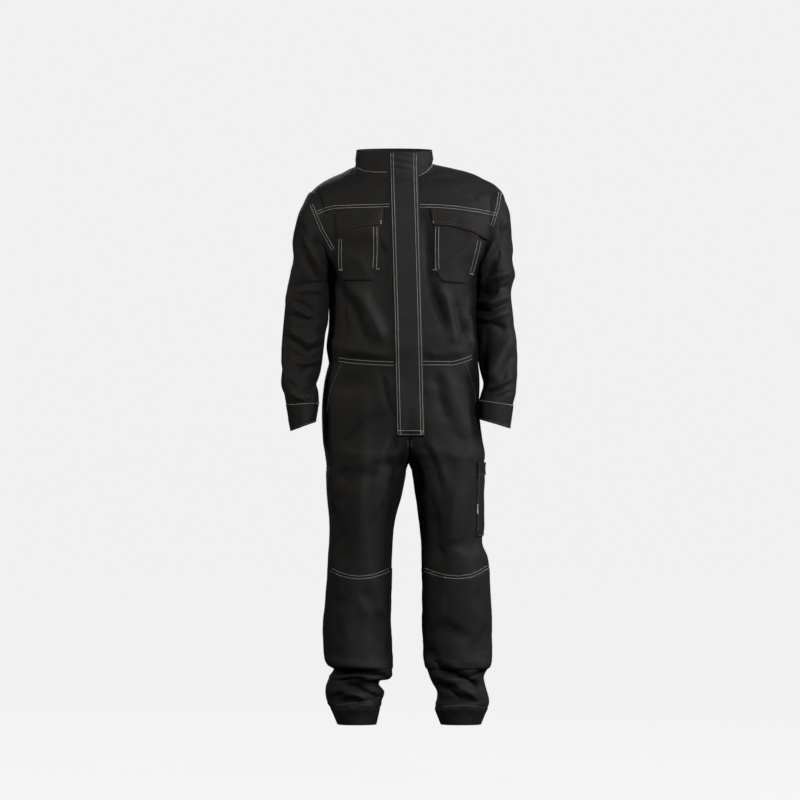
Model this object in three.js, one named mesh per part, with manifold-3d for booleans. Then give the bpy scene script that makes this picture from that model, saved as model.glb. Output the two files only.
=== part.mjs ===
// Welding coverall in black cotton twill, kept in the form it has when worn.
// Millimetres, +Z up. The front faces -Y and the wearer's left side is +X.
// The origin is the middle of the neck opening, level with the shoulders, where it hangs.
import * as THREE from 'three';
import { mergeVertices } from 'three/addons/utils/BufferGeometryUtils.js';
import Module from 'manifold-3d';

const wasm = await Module();
wasm.setup();

// Lengths down the garment
const collarRise = 52; // neck point up to the collar's top edge
const yokeDrop = 95; // neck point down to the yoke seam at the placket
const armholeDrop = 250; // neck point down to the bottom of the armhole
const bodyLength = 502; // neck point down to the waist seam
const rise = 268; // waist seam down to the crotch
const inseam = 671; // crotch down to the hem
const sleeveDrop = 606; // neck point down to the cuff seam
const cuffLength = 62;
const placketDrop = 688; // neck point down to the placket's square end
const kneeSeamDrop = 1034; // neck point down to the knee pocket's top seam
const kneePocketLength = 262;

// Widths across the front, and depths from front to back
const collarWidth = 200;
const collarDepth = 152;
const shoulderWidth = 512;
const chestWidth = 392;
const chestDepth = 280;
const waistWidth = 388;
const waistDepth = 254;
const hipWidth = 416;
const hipDepth = 264;
const thighWidth = 196;
const thighDepth = 222;
const kneeWidth = 172;
const kneeDepth = 172;
const hemWidth = 120;
const hemDepth = 140;
const sleeveWidth = 104;
const sleeveDepth = 180;

// Cloth, trims and the room between pieces
const wall = 2;
const gap = 0.3;
const trimWall = 2.2;
const placketWidth = 73;
const placketWall = 3;
const cuffWall = 2.6;
const cuffGap = 0.8; // sleeve's end to the cuff, which leans the other way
const neckSeamRise = 16; // neck seam at the middle of the neck, above the neck point
const neckSlopeFront = 0.42; // rise of the neck seam from front to back, before and behind the neck
const neckSlopeBack = 0.12;
const neckLean = 0.08; // rise of the neck seam to the wearer's left
const yokeFall = 21; // fall of the yoke seam from the placket to the armhole
const pocketWidth = 116;
const pocketLength = 193; // yoke seam down to the chest pocket's bottom edge
const pocketOffset = 34; // placket edge out to the chest pocket
const pocketChamfer = 22;
const flapLength = 48;
const flapOverhang = 6;
const kneeArc = 23; // fall of the knee pocket's top seam to its middle
const kneeMargin = 10; // knee pocket's side edges to the side seams
const cargoWidth = 126;
const cargoLength = 176;
const cargoDrop = 776; // neck point down to the thigh pocket's mouth
const cargoFlapLength = 34;
const tabWidth = 18;
const tabLength = 26;
const tabRise = 52; // thigh pocket's bottom edge up to the side tab
const kneeMiddle = { right: -0.73, left: 0.73 }; // middle of each knee pocket, as a share of kneeWidth

// Longest distance between the rings of points that a tube is built from
const trunkStep = 60;
const legStep = 90;
const sleeveStep = 70;

// Seams that split the body into panels
const frontLineTop = -12; // middle of the placket at the neck
const frontLineLean = 19; // its move to the wearer's left over the placket's length
const sideSeam = 4;
const centreSeam = 2;

const crotchZ = -(bodyLength + rise);
const hemZ = crotchZ - inseam;
const reach = 2 * (shoulderWidth + chestDepth); // larger than any section, for regions

// The outline is read at heights. z, left, right, front and back are places in millimetres,
// tilt is the rise of a section from front to back, and square is its squareness.
function place(rows, size) {
  return rows.map((r) => ({
    z: r.z * size.length + (size.from ?? 0),
    left: (r.left * size.width) / 2,
    right: (r.right * size.width) / 2,
    front: (r.front * size.depth) / 2,
    back: (r.back * size.depth) / 2,
    tilt: r.tilt ?? 0,
    square: r.square,
  }));
}

const collarRows = place([
  { z: 1, left: -1.34, right: 0.63, front: -1.02, back: 0.96, tilt: 0.09, square: 2.1 },
  { z: 0.55, left: -1.37, right: 0.66, front: -1.08, back: 1, tilt: 0.2, square: 2.1 },
  { z: 0.13, left: -1.39, right: 0.7, front: -1.13, back: 1.06, tilt: 0.3, square: 2.1 },
], { length: collarRise, width: collarWidth, depth: collarDepth });

const shoulderRows = place([
  { z: -0.035, left: -0.66, right: 0.62, front: -0.7, back: 0.68, tilt: 0.2, square: 2.1 },
  { z: -0.11, left: -0.83, right: 0.79, front: -0.79, back: 0.82, tilt: 0.15, square: 2.1 },
  { z: -0.19, left: -0.945, right: 0.895, front: -0.84, back: 0.89, tilt: 0.1, square: 2.1 },
  { z: -0.28, left: -1, right: 0.96, front: -0.88, back: 0.93, tilt: 0.05, square: 2.2 },
  { z: -0.44, left: -1.02, right: 0.98, front: -0.93, back: 0.98, tilt: 0.02, square: 2.5 },
  { z: -0.64, left: -0.98, right: 0.95, front: -0.98, back: 1, square: 2.8 },
  { z: -0.84, left: -0.91, right: 0.87, front: -1, back: 1, square: 2.8 },
], { length: armholeDrop, width: shoulderWidth, depth: chestDepth });

const chestRows = place([
  { z: -0.51, left: -1.08, right: 0.98, front: -1.02, back: 0.98, square: 2.7 },
  { z: -0.64, left: -1.035, right: 0.9, front: -1.02, back: 0.93, square: 2.5 },
  { z: -0.8, left: -1.035, right: 0.89, front: -1.02, back: 0.9, square: 2.4 },
], { length: bodyLength, width: chestWidth, depth: chestDepth });

const waistRows = place([
  { z: -0.91, left: -1.075, right: 0.915, front: -1.12, back: 1, square: 2.4 },
  { z: -1, left: -1.06, right: 0.93, front: -1.06, back: 0.94, square: 2.4 },
], { length: bodyLength, width: waistWidth, depth: waistDepth });

const hipRows = place([
  { z: -0.2, left: -1.05, right: 0.87, front: -1.03, back: 0.95, square: 2.4 },
  { z: -0.45, left: -1.075, right: 0.85, front: -1.02, back: 0.99, square: 2.4 },
  { z: -0.72, left: -1.06, right: 0.9, front: -0.99, back: 1.01, square: 2.4 },
  { z: -1, left: -1.03, right: 0.95, front: -0.94, back: 0.98, square: 2.4 },
], { length: rise, width: hipWidth, depth: hipDepth, from: -bodyLength });

const trunk = [...collarRows, ...shoulderRows, ...chestRows, ...waistRows, ...hipRows];
const waistRow = waistRows[waistRows.length - 1];

// Each leg starts as half of the waist: its section reaches past the centre seam, which cuts it,
// and closes round the thigh at the crotch. outer and inner are measured from the centre seam.
function legSections(side, hips, thighs, knees, ankles) {
  const rows = [
    ...hips.map((r) => ({ ...r, length: rise, width: hipWidth, depth: hipDepth, from: -bodyLength })),
    ...thighs.map((r) => ({ ...r, length: inseam, width: thighWidth, depth: thighDepth, from: crotchZ })),
    ...knees.map((r) => ({ ...r, length: inseam, width: kneeWidth, depth: kneeDepth, from: crotchZ })),
    ...ankles.map((r) => ({ ...r, length: inseam, width: hemWidth, depth: hemDepth, from: crotchZ })),
  ].map((r) => ({
    z: r.z * r.length + r.from,
    left: centreSeam + (side < 0 ? r.outer * -r.width : r.inner * r.width),
    right: centreSeam + (side < 0 ? r.inner * -r.width : r.outer * r.width),
    front: (r.front * r.depth) / 2,
    back: (r.back * r.depth) / 2,
    tilt: 0,
    square: r.square ?? 2.2,
  }));
  return [waistRow, ...rows];
}

const rightLeg = legSections(-1, [
  { z: -0.2, outer: 0.53, inner: -0.4, front: -0.985, back: 0.94 },
  { z: -0.45, outer: 0.545, inner: -0.27, front: -0.965, back: 0.98 },
  { z: -0.72, outer: 0.54, inner: -0.14, front: -0.93, back: 1 },
  { z: -0.88, outer: 0.525, inner: -0.06, front: -0.94, back: 0.98 },
], [
  { z: 0, outer: 1.08, inner: 0.025, front: -1.08, back: 1.12 },
  { z: -0.04, outer: 1.1, inner: 0.05, front: -1.05, back: 1.08 },
  { z: -0.12, outer: 1.085, inner: 0.11, front: -1.02, back: 1 },
], [
  { z: -0.22, outer: 1.2, inner: 0.23, front: -1.22, back: 1.12 },
  { z: -0.34, outer: 1.21, inner: 0.265, front: -1.12, back: 0.98 },
  { z: -0.52, outer: 1.25, inner: 0.285, front: -1.04, back: 0.98 },
  { z: -0.62, outer: 1.29, inner: 0.285, front: -0.98, back: 1.06 },
  { z: -0.752, outer: 1.25, inner: 0.26, front: -1.02, back: 1.06 },
], [
  { z: -0.782, outer: 1.62, inner: 0.375, front: -1.1, back: 1.14 },
  { z: -0.813, outer: 1.72, inner: 0.4, front: -1.26, back: 1.28 },
  { z: -0.844, outer: 1.79, inner: 0.65, front: -1.08, back: 1.14 },
  { z: -0.875, outer: 1.81, inner: 0.55, front: -1.2, back: 1.24 },
  { z: -0.906, outer: 1.78, inner: 0.58, front: -1.08, back: 1.1 },
  { z: -0.938, outer: 1.7, inner: 0.62, front: -1.12, back: 1.1 },
  { z: -0.97, outer: 1.62, inner: 0.66, front: -1.08, back: 1.04 },
  { z: -1, outer: 1.55, inner: 0.7, front: -1.04, back: 0.98 },
]);

const leftLeg = legSections(1, [
  { z: -0.2, outer: 0.43, inner: -0.46, front: -0.985, back: 0.94 },
  { z: -0.45, outer: 0.42, inner: -0.31, front: -0.965, back: 0.98 },
  { z: -0.72, outer: 0.45, inner: -0.16, front: -0.93, back: 1 },
  { z: -0.88, outer: 0.475, inner: -0.06, front: -0.94, back: 0.98 },
], [
  { z: 0, outer: 0.99, inner: 0.02, front: -1.08, back: 1.12 },
  { z: -0.04, outer: 0.99, inner: 0.06, front: -1.05, back: 1.08 },
  { z: -0.12, outer: 0.98, inner: 0.1, front: -1.02, back: 1 },
], [
  { z: -0.22, outer: 1.12, inner: 0.17, front: -1.22, back: 1.12 },
  { z: -0.3, outer: 1.11, inner: 0.2, front: -1.14, back: 1 },
  { z: -0.37, outer: 1.2, inner: 0.205, front: -1.12, back: 0.96 },
  { z: -0.52, outer: 1.24, inner: 0.215, front: -1.04, back: 0.98 },
  { z: -0.64, outer: 1.25, inner: 0.215, front: -0.98, back: 1.06 },
  { z: -0.757, outer: 1.245, inner: 0.24, front: -1.02, back: 1.06 },
], [
  { z: -0.782, outer: 1.72, inner: 0.39, front: -1.1, back: 1.14 },
  { z: -0.813, outer: 1.63, inner: 0.45, front: -1.26, back: 1.26 },
  { z: -0.844, outer: 1.65, inner: 0.53, front: -1.08, back: 1.14 },
  { z: -0.875, outer: 1.7, inner: 0.61, front: -1.2, back: 1.24 },
  { z: -0.906, outer: 1.74, inner: 0.6, front: -1.08, back: 1.1 },
  { z: -0.938, outer: 1.71, inner: 0.56, front: -1.12, back: 1.1 },
  { z: -0.97, outer: 1.64, inner: 0.62, front: -1.08, back: 1.04 },
  { z: -1, outer: 1.57, inner: 0.69, front: -1.04, back: 0.98 },
]);

// A sleeve's sections fan out from the bottom of the armhole, then hang beside the chest, the waist
// and the hips. out and in are its outer and inner edge, outZ and inZ their heights, and wide is the
// room between the edges.
function sleeveSections(side, armhole, chest, waist, hips) {
  const fan = armhole.map((r) => tubeSection(
    side,
    { x: (side * r.out * shoulderWidth) / 2, z: r.outZ * armholeDrop },
    { x: (side * r.in * shoulderWidth) / 2, z: r.inZ * armholeDrop },
    { front: (r.front * chestDepth) / 2, back: (r.back * chestDepth) / 2, square: r.square },
  ));
  const hang = (rows, width) => rows.map((r) => {
    const inner = (r.in * width) / 2;
    return tubeSection(
      side,
      { x: side * (inner + r.wide * sleeveWidth), z: r.outZ * sleeveDrop },
      { x: side * inner, z: r.inZ * sleeveDrop },
      { front: (r.front * sleeveDepth) / 2, back: (r.back * sleeveDepth) / 2, square: 2.1 },
    );
  });
  return [...fan, ...hang(chest, chestWidth), ...hang(waist, waistWidth), ...hang(hips, hipWidth)];
}

function tubeSection(side, outer, inner, rest) {
  const [left, right] = side < 0 ? [outer, inner] : [inner, outer];
  return { left: left.x, leftZ: left.z, right: right.x, rightZ: right.z, ...rest };
}

const rightSleeve = sleeveSections(-1, [
  { out: 0.91, outZ: -0.22, in: 0.7, inZ: -0.93, front: -0.63, back: 0.64, square: 2.7 },
  { out: 1.005, outZ: -0.24, in: 0.745, inZ: -0.99, front: -0.64, back: 0.66, square: 2.7 },
  { out: 1.08, outZ: -0.4, in: 0.77, inZ: -1.05, front: -0.64, back: 0.64, square: 2.5 },
  { out: 1.125, outZ: -0.56, in: 0.78, inZ: -1.1, front: -0.64, back: 0.63, square: 2.2 },
  { out: 1.16, outZ: -0.73, in: 0.79, inZ: -1.165, front: -0.63, back: 0.6, square: 2.1 },
], [
  { in: 1.055, inZ: -0.52, wide: 0.92, outZ: -0.39, front: -0.97, back: 0.88 },
  { in: 1.08, inZ: -0.57, wide: 0.93, outZ: -0.48, front: -0.94, back: 0.8 },
  { in: 1.09, inZ: -0.64, wide: 0.985, outZ: -0.59, front: -0.93, back: 0.7 },
  { in: 1.1, inZ: -0.7, wide: 1.015, outZ: -0.68, front: -0.93, back: 0.62 },
], [
  { in: 1.125, inZ: -0.775, wide: 1.025, outZ: -0.77, front: -0.95, back: 0.5 },
  { in: 1.17, inZ: -0.85, wide: 0.955, outZ: -0.85, front: -1, back: 0.36 },
], [
  { in: 1.135, inZ: -0.915, wide: 0.875, outZ: -0.925, front: -1.05, back: 0.22 },
  { in: 1.12, inZ: -0.96, wide: 0.86, outZ: -0.97, front: -1.1, back: 0.1 },
  { in: 1.11, inZ: -0.997, wide: 0.82, outZ: -1.003, front: -1.1, back: 0.04 },
]);

const leftSleeve = sleeveSections(1, [
  { out: 0.87, outZ: -0.21, in: 0.66, inZ: -0.92, front: -0.63, back: 0.64, square: 2.7 },
  { out: 0.95, outZ: -0.24, in: 0.7, inZ: -0.98, front: -0.64, back: 0.66, square: 2.7 },
  { out: 1.005, outZ: -0.39, in: 0.72, inZ: -1.05, front: -0.64, back: 0.64, square: 2.5 },
  { out: 1.03, outZ: -0.55, in: 0.73, inZ: -1.1, front: -0.64, back: 0.63, square: 2.2 },
  { out: 1.05, outZ: -0.74, in: 0.74, inZ: -1.17, front: -0.63, back: 0.6, square: 2.1 },
], [
  { in: 0.973, inZ: -0.52, wide: 0.82, outZ: -0.39, front: -0.97, back: 0.88 },
  { in: 0.97, inZ: -0.56, wide: 0.88, outZ: -0.45, front: -0.95, back: 0.82 },
  { in: 0.954, inZ: -0.61, wide: 0.81, outZ: -0.53, front: -0.93, back: 0.74 },
  { in: 0.95, inZ: -0.67, wide: 0.875, outZ: -0.635, front: -0.93, back: 0.64 },
], [
  { in: 0.96, inZ: -0.735, wide: 0.915, outZ: -0.725, front: -0.94, back: 0.54 },
  { in: 0.97, inZ: -0.825, wide: 0.895, outZ: -0.835, front: -1, back: 0.38 },
], [
  { in: 0.92, inZ: -0.91, wide: 0.835, outZ: -0.925, front: -1.05, back: 0.22 },
  { in: 0.902, inZ: -0.957, wide: 0.84, outZ: -0.977, front: -1.1, back: 0.1 },
  { in: 0.887, inZ: -0.984, wide: 0.845, outZ: -1.006, front: -1.1, back: 0.04 },
]);

// Point on a section at angle a: 0 is the left edge, a quarter turn on is the front.
function sectionPoint(row, a) {
  const power = 2 / row.square;
  const c = Math.sign(Math.cos(a)) * Math.abs(Math.cos(a)) ** power;
  const s = Math.sign(Math.sin(a)) * Math.abs(Math.sin(a)) ** power;
  const leftZ = row.leftZ ?? row.z;
  const rightZ = row.rightZ ?? row.z;
  const y = (row.front + row.back) / 2 + (s * (row.front - row.back)) / 2;
  return new THREE.Vector3(
    (row.left + row.right) / 2 + (c * (row.left - row.right)) / 2,
    y,
    (leftZ + rightZ) / 2 + (c * (leftZ - rightZ)) / 2 + (row.tilt ?? 0) * y,
  );
}

// Rings of points through the sections, with extra rings where sections are far apart
function rings(rows, around, step) {
  const columns = Object.keys(rows[0]);
  const height = (row) => row.z ?? (row.leftZ + row.rightZ) / 2;
  const list = [];
  for (let i = 0; i + 1 < rows.length; i += 1) {
    const count = Math.max(1, Math.round(Math.abs(height(rows[i]) - height(rows[i + 1])) / step));
    for (let k = 0; k < count; k += 1) {
      list.push(between(rows, columns, i, k / count));
    }
  }
  list.push(rows[rows.length - 1]);
  return list.map((row) => Array.from({ length: around }, (_, j) => (
    sectionPoint(row, (2 * Math.PI * j) / around))));
}

// Smooth value of every column at share t between row i and the next one
function between(rows, columns, i, t) {
  const a = rows[Math.max(0, i - 1)];
  const b = rows[i];
  const c = rows[i + 1];
  const d = rows[Math.min(rows.length - 1, i + 2)];
  const blend = {};
  for (const name of columns) {
    const before = a[name] ?? 0;
    const from = b[name] ?? 0;
    const to = c[name] ?? 0;
    const after = d[name] ?? 0;
    const slopeIn = (to - before) / 2;
    const slopeOut = (after - from) / 2;
    blend[name] = from + t * (slopeIn + t * (3 * (to - from) - 2 * slopeIn - slopeOut
      + t * (2 * (from - to) + slopeIn + slopeOut)));
  }
  return blend;
}

// The same rings moved out along the cloth's normal
function offset(grid, distance) {
  const around = grid[0].length;
  return grid.map((ring, i) => ring.map((point, j) => {
    const above = grid[Math.max(0, i - 1)][j];
    const below = grid[Math.min(grid.length - 1, i + 1)][j];
    const last = ring[(j + around - 1) % around];
    const next = ring[(j + 1) % around];
    const normal = new THREE.Vector3().subVectors(below, above).cross(
      new THREE.Vector3().subVectors(next, last)).normalize();
    return point.clone().addScaledVector(normal, distance);
  }));
}

function toSolid(points, faces) {
  const geometry = new THREE.BufferGeometry();
  const places = points.flatMap((p) => [p.x, p.y, p.z]);
  geometry.setAttribute('position', new THREE.Float32BufferAttribute(places, 3));
  geometry.setIndex(faces);
  return fromGeometry(geometry);
}

function fromGeometry(geometry) {
  geometry.deleteAttribute('normal');
  geometry.deleteAttribute('uv');
  const merged = mergeVertices(geometry);
  const solid = new wasm.Manifold(new wasm.Mesh({
    numProp: 3,
    vertProperties: new Float32Array(merged.attributes.position.array),
    triVerts: new Uint32Array(merged.index.array),
  }));
  return solid;
}

// Cloth between two distances from the surface, open at both ends
function shell(grid, from, to) {
  const around = grid[0].length;
  const outer = offset(grid, to).flat();
  const inner = offset(grid, from).flat();
  const count = outer.length;
  const faces = [];
  const quad = (a, b, c, d) => faces.push(a, b, c, a, c, d);
  for (let j = 0; j < around; j += 1) {
    const k = (j + 1) % around;
    for (let i = 0; i + 1 < grid.length; i += 1) {
      const [a, b, c, d] = [i * around + j, (i + 1) * around + j, (i + 1) * around + k, i * around + k];
      quad(a, b, c, d);
      quad(count + a, count + d, count + c, count + b);
    }
    const last = (grid.length - 1) * around;
    quad(k, count + k, count + j, j);
    quad(last + j, count + last + j, count + last + k, last + k);
  }
  return toSolid([...outer, ...inner], faces);
}

// Everything inside the surface, moved out by a distance
function fill(grid, distance) {
  const around = grid[0].length;
  const points = offset(grid, distance).flat();
  const top = points.length;
  const bottom = top + 1;
  const middle = (ring) => ring.reduce((sum, p) => sum.add(p), new THREE.Vector3()).divideScalar(around);
  points.push(middle(grid[0]), middle(grid[grid.length - 1]));
  const faces = [];
  for (let j = 0; j < around; j += 1) {
    const k = (j + 1) % around;
    for (let i = 0; i + 1 < grid.length; i += 1) {
      const [a, b, c, d] = [i * around + j, (i + 1) * around + j, (i + 1) * around + k, i * around + k];
      faces.push(a, b, c, a, c, d);
    }
    const last = (grid.length - 1) * around;
    faces.push(top, j, k, bottom, last + k, last + j);
  }
  return toSolid(points, faces);
}

// Region seen from the front: an outline of [x, z] points, from y = near to y = far
function frontRegion(outline, near, far) {
  const shape = new THREE.Shape(outline.map(([x, z]) => new THREE.Vector2(x, z)));
  const geometry = new THREE.ExtrudeGeometry(shape, { depth: far - near, bevelEnabled: false });
  geometry.rotateX(Math.PI / 2);
  geometry.translate(0, far, 0);
  return fromGeometry(geometry);
}

// Region seen from the side: an outline of [y, z] points, from x = near to x = far
function sideRegion(outline, near, far) {
  const shape = new THREE.Shape(outline.map(([y, z]) => new THREE.Vector2(y, z)));
  const geometry = new THREE.ExtrudeGeometry(shape, { depth: far - near, bevelEnabled: false });
  geometry.rotateX(Math.PI / 2);
  geometry.rotateZ(Math.PI / 2);
  geometry.translate(near, 0, 0);
  return fromGeometry(geometry);
}

// Everything above the neck seam, raised by a clearance: two planes, steep in front and flat behind
function aboveNeck(clearance) {
  const planes = [neckSlopeFront, neckSlopeBack].map((slope) => {
    const geometry = new THREE.BoxGeometry(reach, reach, reach);
    geometry.translate(0, 0, reach / 2);
    geometry.rotateY(-Math.atan(neckLean));
    geometry.rotateX(Math.atan(slope));
    geometry.translate(0, 0, neckSeamRise + clearance);
    return fromGeometry(geometry);
  });
  return planes[0].add(planes[1]);
}

const box = (x0, x1, y0, y1, z0, z1) => frontRegion([[x0, z0], [x1, z0], [x1, z1], [x0, z1]], y0, y1);

const frontLine = (z) => frontLineTop - (frontLineLean * z) / placketDrop;
const yokeLine = (x, z = 0) => {
  const out = Math.abs(x - frontLine(-yokeDrop)) / (shoulderWidth / 2);
  return -yokeDrop - yokeFall * out + z;
};

const sides = 14; // facets round a leg; the trunk has twice as many, so that they nest at the waist
const trunkGrid = rings(trunk, 2 * sides, trunkStep);
const legGrids = {
  right: rings(rightLeg, sides, legStep),
  left: rings(leftLeg, sides, legStep),
};
const sleeveGrids = {
  right: rings(rightSleeve, sides - 2, sleeveStep),
  left: rings(leftSleeve, sides - 2, sleeveStep),
};

const blackTwill = { color: 0x1e1c1a, roughness: 0.86, metalness: 0 };
const paleTab = { color: 0xb9b7b4, roughness: 0.7, metalness: 0 };

const coverall = new THREE.Group();

function add(name, solid, finish = blackTwill) {
  const mesh = solid.getMesh();
  const geometry = new THREE.BufferGeometry();
  geometry.setAttribute('position', new THREE.BufferAttribute(new Float32Array(mesh.vertProperties), 3));
  geometry.setIndex(new THREE.BufferAttribute(new Uint32Array(mesh.triVerts), 1));
  geometry.computeVertexNormals();
  const piece = new THREE.Mesh(geometry, new THREE.MeshStandardMaterial(finish));
  piece.name = name;
  coverall.add(piece);
}

// Body panels: the trunk's cloth is cut at the neck, yoke, waist, side and centre front seams
const sleeveCut = fill(sleeveGrids.right, gap).add(fill(sleeveGrids.left, gap));
const trunkCloth = shell(trunkGrid, -wall, 0).subtract(sleeveCut);
const collarZone = aboveNeck(gap / 2);
const belowNeck = box(-reach, reach, -reach, reach, -reach, reach).subtract(aboveNeck(-gap / 2));
const waistLine = -bodyLength + gap / 2;

const slit = [-1, 1].flatMap((side) => {
  const edge = (z) => [frontLine(z) + (side * gap) / 2, z];
  return side < 0 ? [edge(reach), edge(-reach)] : [edge(-reach), edge(reach)];
});

add('collar', trunkCloth.intersect(collarZone).subtract(frontRegion(slit, -reach, 0)));

for (const [name, side] of [['right', -1], ['left', 1]]) {
  const edge = (z) => frontLine(z) + (side * gap) / 2;
  const far = side * reach;
  const yokeEnd = (z) => [far, yokeLine(far, z)];
  const yoke = [
    [edge(reach), reach],
    [edge(-yokeDrop), -yokeDrop + gap / 2],
    yokeEnd(gap / 2),
    [far, reach],
  ];
  const front = [
    [edge(-yokeDrop), -yokeDrop - gap / 2],
    [edge(waistLine), waistLine],
    [far, waistLine],
    yokeEnd(-gap / 2),
  ];
  add(`front_yoke_${name}`, trunkCloth.intersect(belowNeck)
    .intersect(frontRegion(yoke, -reach, sideSeam - gap / 2)));
  add(`front_${name}`, trunkCloth.intersect(frontRegion(front, -reach, sideSeam - gap / 2)));
}

add('back_yoke', trunkCloth.intersect(belowNeck)
  .intersect(box(-reach, reach, sideSeam + gap / 2, reach, -yokeDrop + gap / 2, reach)));
add('back', trunkCloth
  .intersect(box(-reach, reach, sideSeam + gap / 2, reach, waistLine, -yokeDrop - gap / 2)));

// Trousers: each leg's cloth is cut at the waist, centre, side and inner leg seams, and at the knee
// seam, level with the lowest point of the knee pocket's edge
const kneeSeam = -kneeSeamDrop - kneeArc;
for (const [name, side] of [['right', -1], ['left', 1]]) {
  const inside = centreSeam + (side * gap) / 2;
  const [near, far] = side < 0 ? [-reach, inside] : [inside, reach];
  const legCloth = shell(legGrids[name], -wall, 0)
    .intersect(box(near, far, -reach, reach, 2 * hemZ, -bodyLength - gap / 2));
  const parts = [['leg', kneeSeam + gap / 2, 0], ['shin', 2 * hemZ, kneeSeam - gap / 2]];
  for (const [part, low, high] of parts) {
    const frontHalf = box(-reach, reach, -reach, sideSeam - gap / 2, low, high);
    const backHalf = box(-reach, reach, sideSeam + gap / 2, reach, low, high);
    add(`${part}_front_${name}`, legCloth.intersect(frontHalf));
    add(`${part}_back_${name}`, legCloth.intersect(backHalf));
  }
}

// Sleeves end at the armhole seam, where their surface leaves the trunk's
const trunkCut = fill(trunkGrid, gap);
const cuffEnds = {
  right: { out: -0.19, outZ: -1.14, in: 0.14, inZ: -0.82 },
  left: { out: -0.13, outZ: -1, in: 0.02, inZ: -0.84 },
};
for (const [name, side] of [['right', -1], ['left', 1]]) {
  add(`sleeve_${name}`, shell(sleeveGrids[name], -wall, 0).subtract(trunkCut));
  const rows = name === 'right' ? rightSleeve : leftSleeve;
  const seam = rows[rows.length - 1];
  const end = cuffEnds[name];
  const [outer, inner] = side < 0 ? ['left', 'right'] : ['right', 'left'];
  const top = { ...seam, leftZ: seam.leftZ - cuffGap, rightZ: seam.rightZ - cuffGap };
  const bottom = {
    ...seam,
    [outer]: seam[outer] + side * end.out * cuffLength,
    [`${outer}Z`]: seam[`${outer}Z`] + end.outZ * cuffLength,
    [inner]: seam[inner] + side * end.in * cuffLength,
    [`${inner}Z`]: seam[`${inner}Z`] + end.inZ * cuffLength,
  };
  add(`cuff_${name}`, shell(rings([top, bottom], sides, cuffLength), -wall, cuffWall - wall));
}

// Placket over the front opening, from the collar's top edge to its square end below the waist
const placketSide = (side, z) => [frontLine(z) + (side * placketWidth) / 2, z];
const placketOutline = [
  placketSide(-1, reach),
  placketSide(-1, -placketDrop),
  placketSide(1, -placketDrop),
  placketSide(1, reach),
];
add('placket', shell(trunkGrid, gap, gap + placketWall)
  .intersect(frontRegion(placketOutline, -reach, 0)));

// Chest pockets hang below the yoke seam and their flaps lie over them
const flapEdge = [
  { across: 0, drop: 1 },
  { across: 0.3, drop: 1 },
  { across: 0.68, drop: 1.06 },
  { across: 1, drop: 1.4 },
];
for (const [name, side] of [['right', -1], ['left', 1]]) {
  const inner = frontLine(-yokeDrop) + side * (placketWidth / 2 + pocketOffset);
  const at = (across, z) => [inner + side * across, z];
  const pocketBottom = -yokeDrop - pocketLength;
  const bag = [
    at(0, yokeLine(inner)),
    at(0, pocketBottom + pocketChamfer),
    at(pocketChamfer / 2, pocketBottom),
    at(pocketWidth - pocketChamfer / 2, pocketBottom),
    at(pocketWidth, pocketBottom + pocketChamfer),
    at(pocketWidth, yokeLine(inner + side * pocketWidth)),
  ];
  const flapWidth = pocketWidth + 2 * flapOverhang;
  const edge = flapEdge.map((p) => {
    const x = inner + side * (p.across * flapWidth - flapOverhang);
    return [x, yokeLine(x) - p.drop * flapLength];
  });
  const flap = [...edge, [edge[3][0], yokeLine(edge[3][0])], [edge[0][0], yokeLine(edge[0][0])]];
  const ordered = (outline) => (side > 0 ? outline : outline.slice().reverse());
  add(`chest_pocket_${name}`, shell(trunkGrid, gap, gap + trimWall)
    .intersect(frontRegion(ordered(bag), -reach, 0)).subtract(sleeveCut));
  add(`chest_flap_${name}`, shell(trunkGrid, 2 * gap + trimWall, 2 * (gap + trimWall))
    .intersect(frontRegion(ordered(flap), -reach, 0)).subtract(sleeveCut));
}

// Knee pockets cover the front of the lower leg, under an arched top seam
const arch = Array.from({ length: 9 }, (_, i) => i / 4 - 1);
for (const name of ['right', 'left']) {
  const middle = centreSeam + kneeMiddle[name] * kneeWidth;
  const top = arch.map((t) => [middle + t * kneeWidth, -kneeSeamDrop - kneeArc * (1 - 4 * t * t)]);
  const bottom = -kneeSeamDrop - kneePocketLength;
  const outline = [[middle - kneeWidth, bottom], [middle + kneeWidth, bottom], ...top.reverse()];
  add(`knee_pocket_${name}`, shell(legGrids[name], gap, gap + trimWall)
    .intersect(frontRegion(outline, -reach, sideSeam - kneeMargin)));
}

// Thigh pocket on the outer side of the left leg, with a flap over its mouth and a small side tab
const cargoFront = sideSeam - cargoWidth / 2;
const cargoBack = sideSeam + cargoWidth / 2;
const cargoBottom = -cargoDrop - cargoLength;
const onThigh = (y0, y1, z0, z1, layer) => shell(legGrids.left, layer, layer + trimWall)
  .intersect(sideRegion([[y0, z0], [y1, z0], [y1, z1], [y0, z1]], centreSeam + thighWidth / 2, reach));
add('thigh_pocket', onThigh(cargoFront, cargoBack, cargoBottom, -cargoDrop, gap));
const overPocket = 2 * gap + trimWall;
add('thigh_flap', onThigh(
  cargoFront - flapOverhang,
  cargoBack + flapOverhang,
  -cargoDrop - cargoFlapLength / 2,
  -cargoDrop + cargoFlapLength / 2,
  overPocket,
));
add('side_tab', onThigh(
  cargoFront - tabWidth / 2,
  cargoFront + tabWidth / 2,
  cargoBottom + tabRise,
  cargoBottom + tabRise + tabLength,
  overPocket,
), paleTab);

export default coverall;
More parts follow.
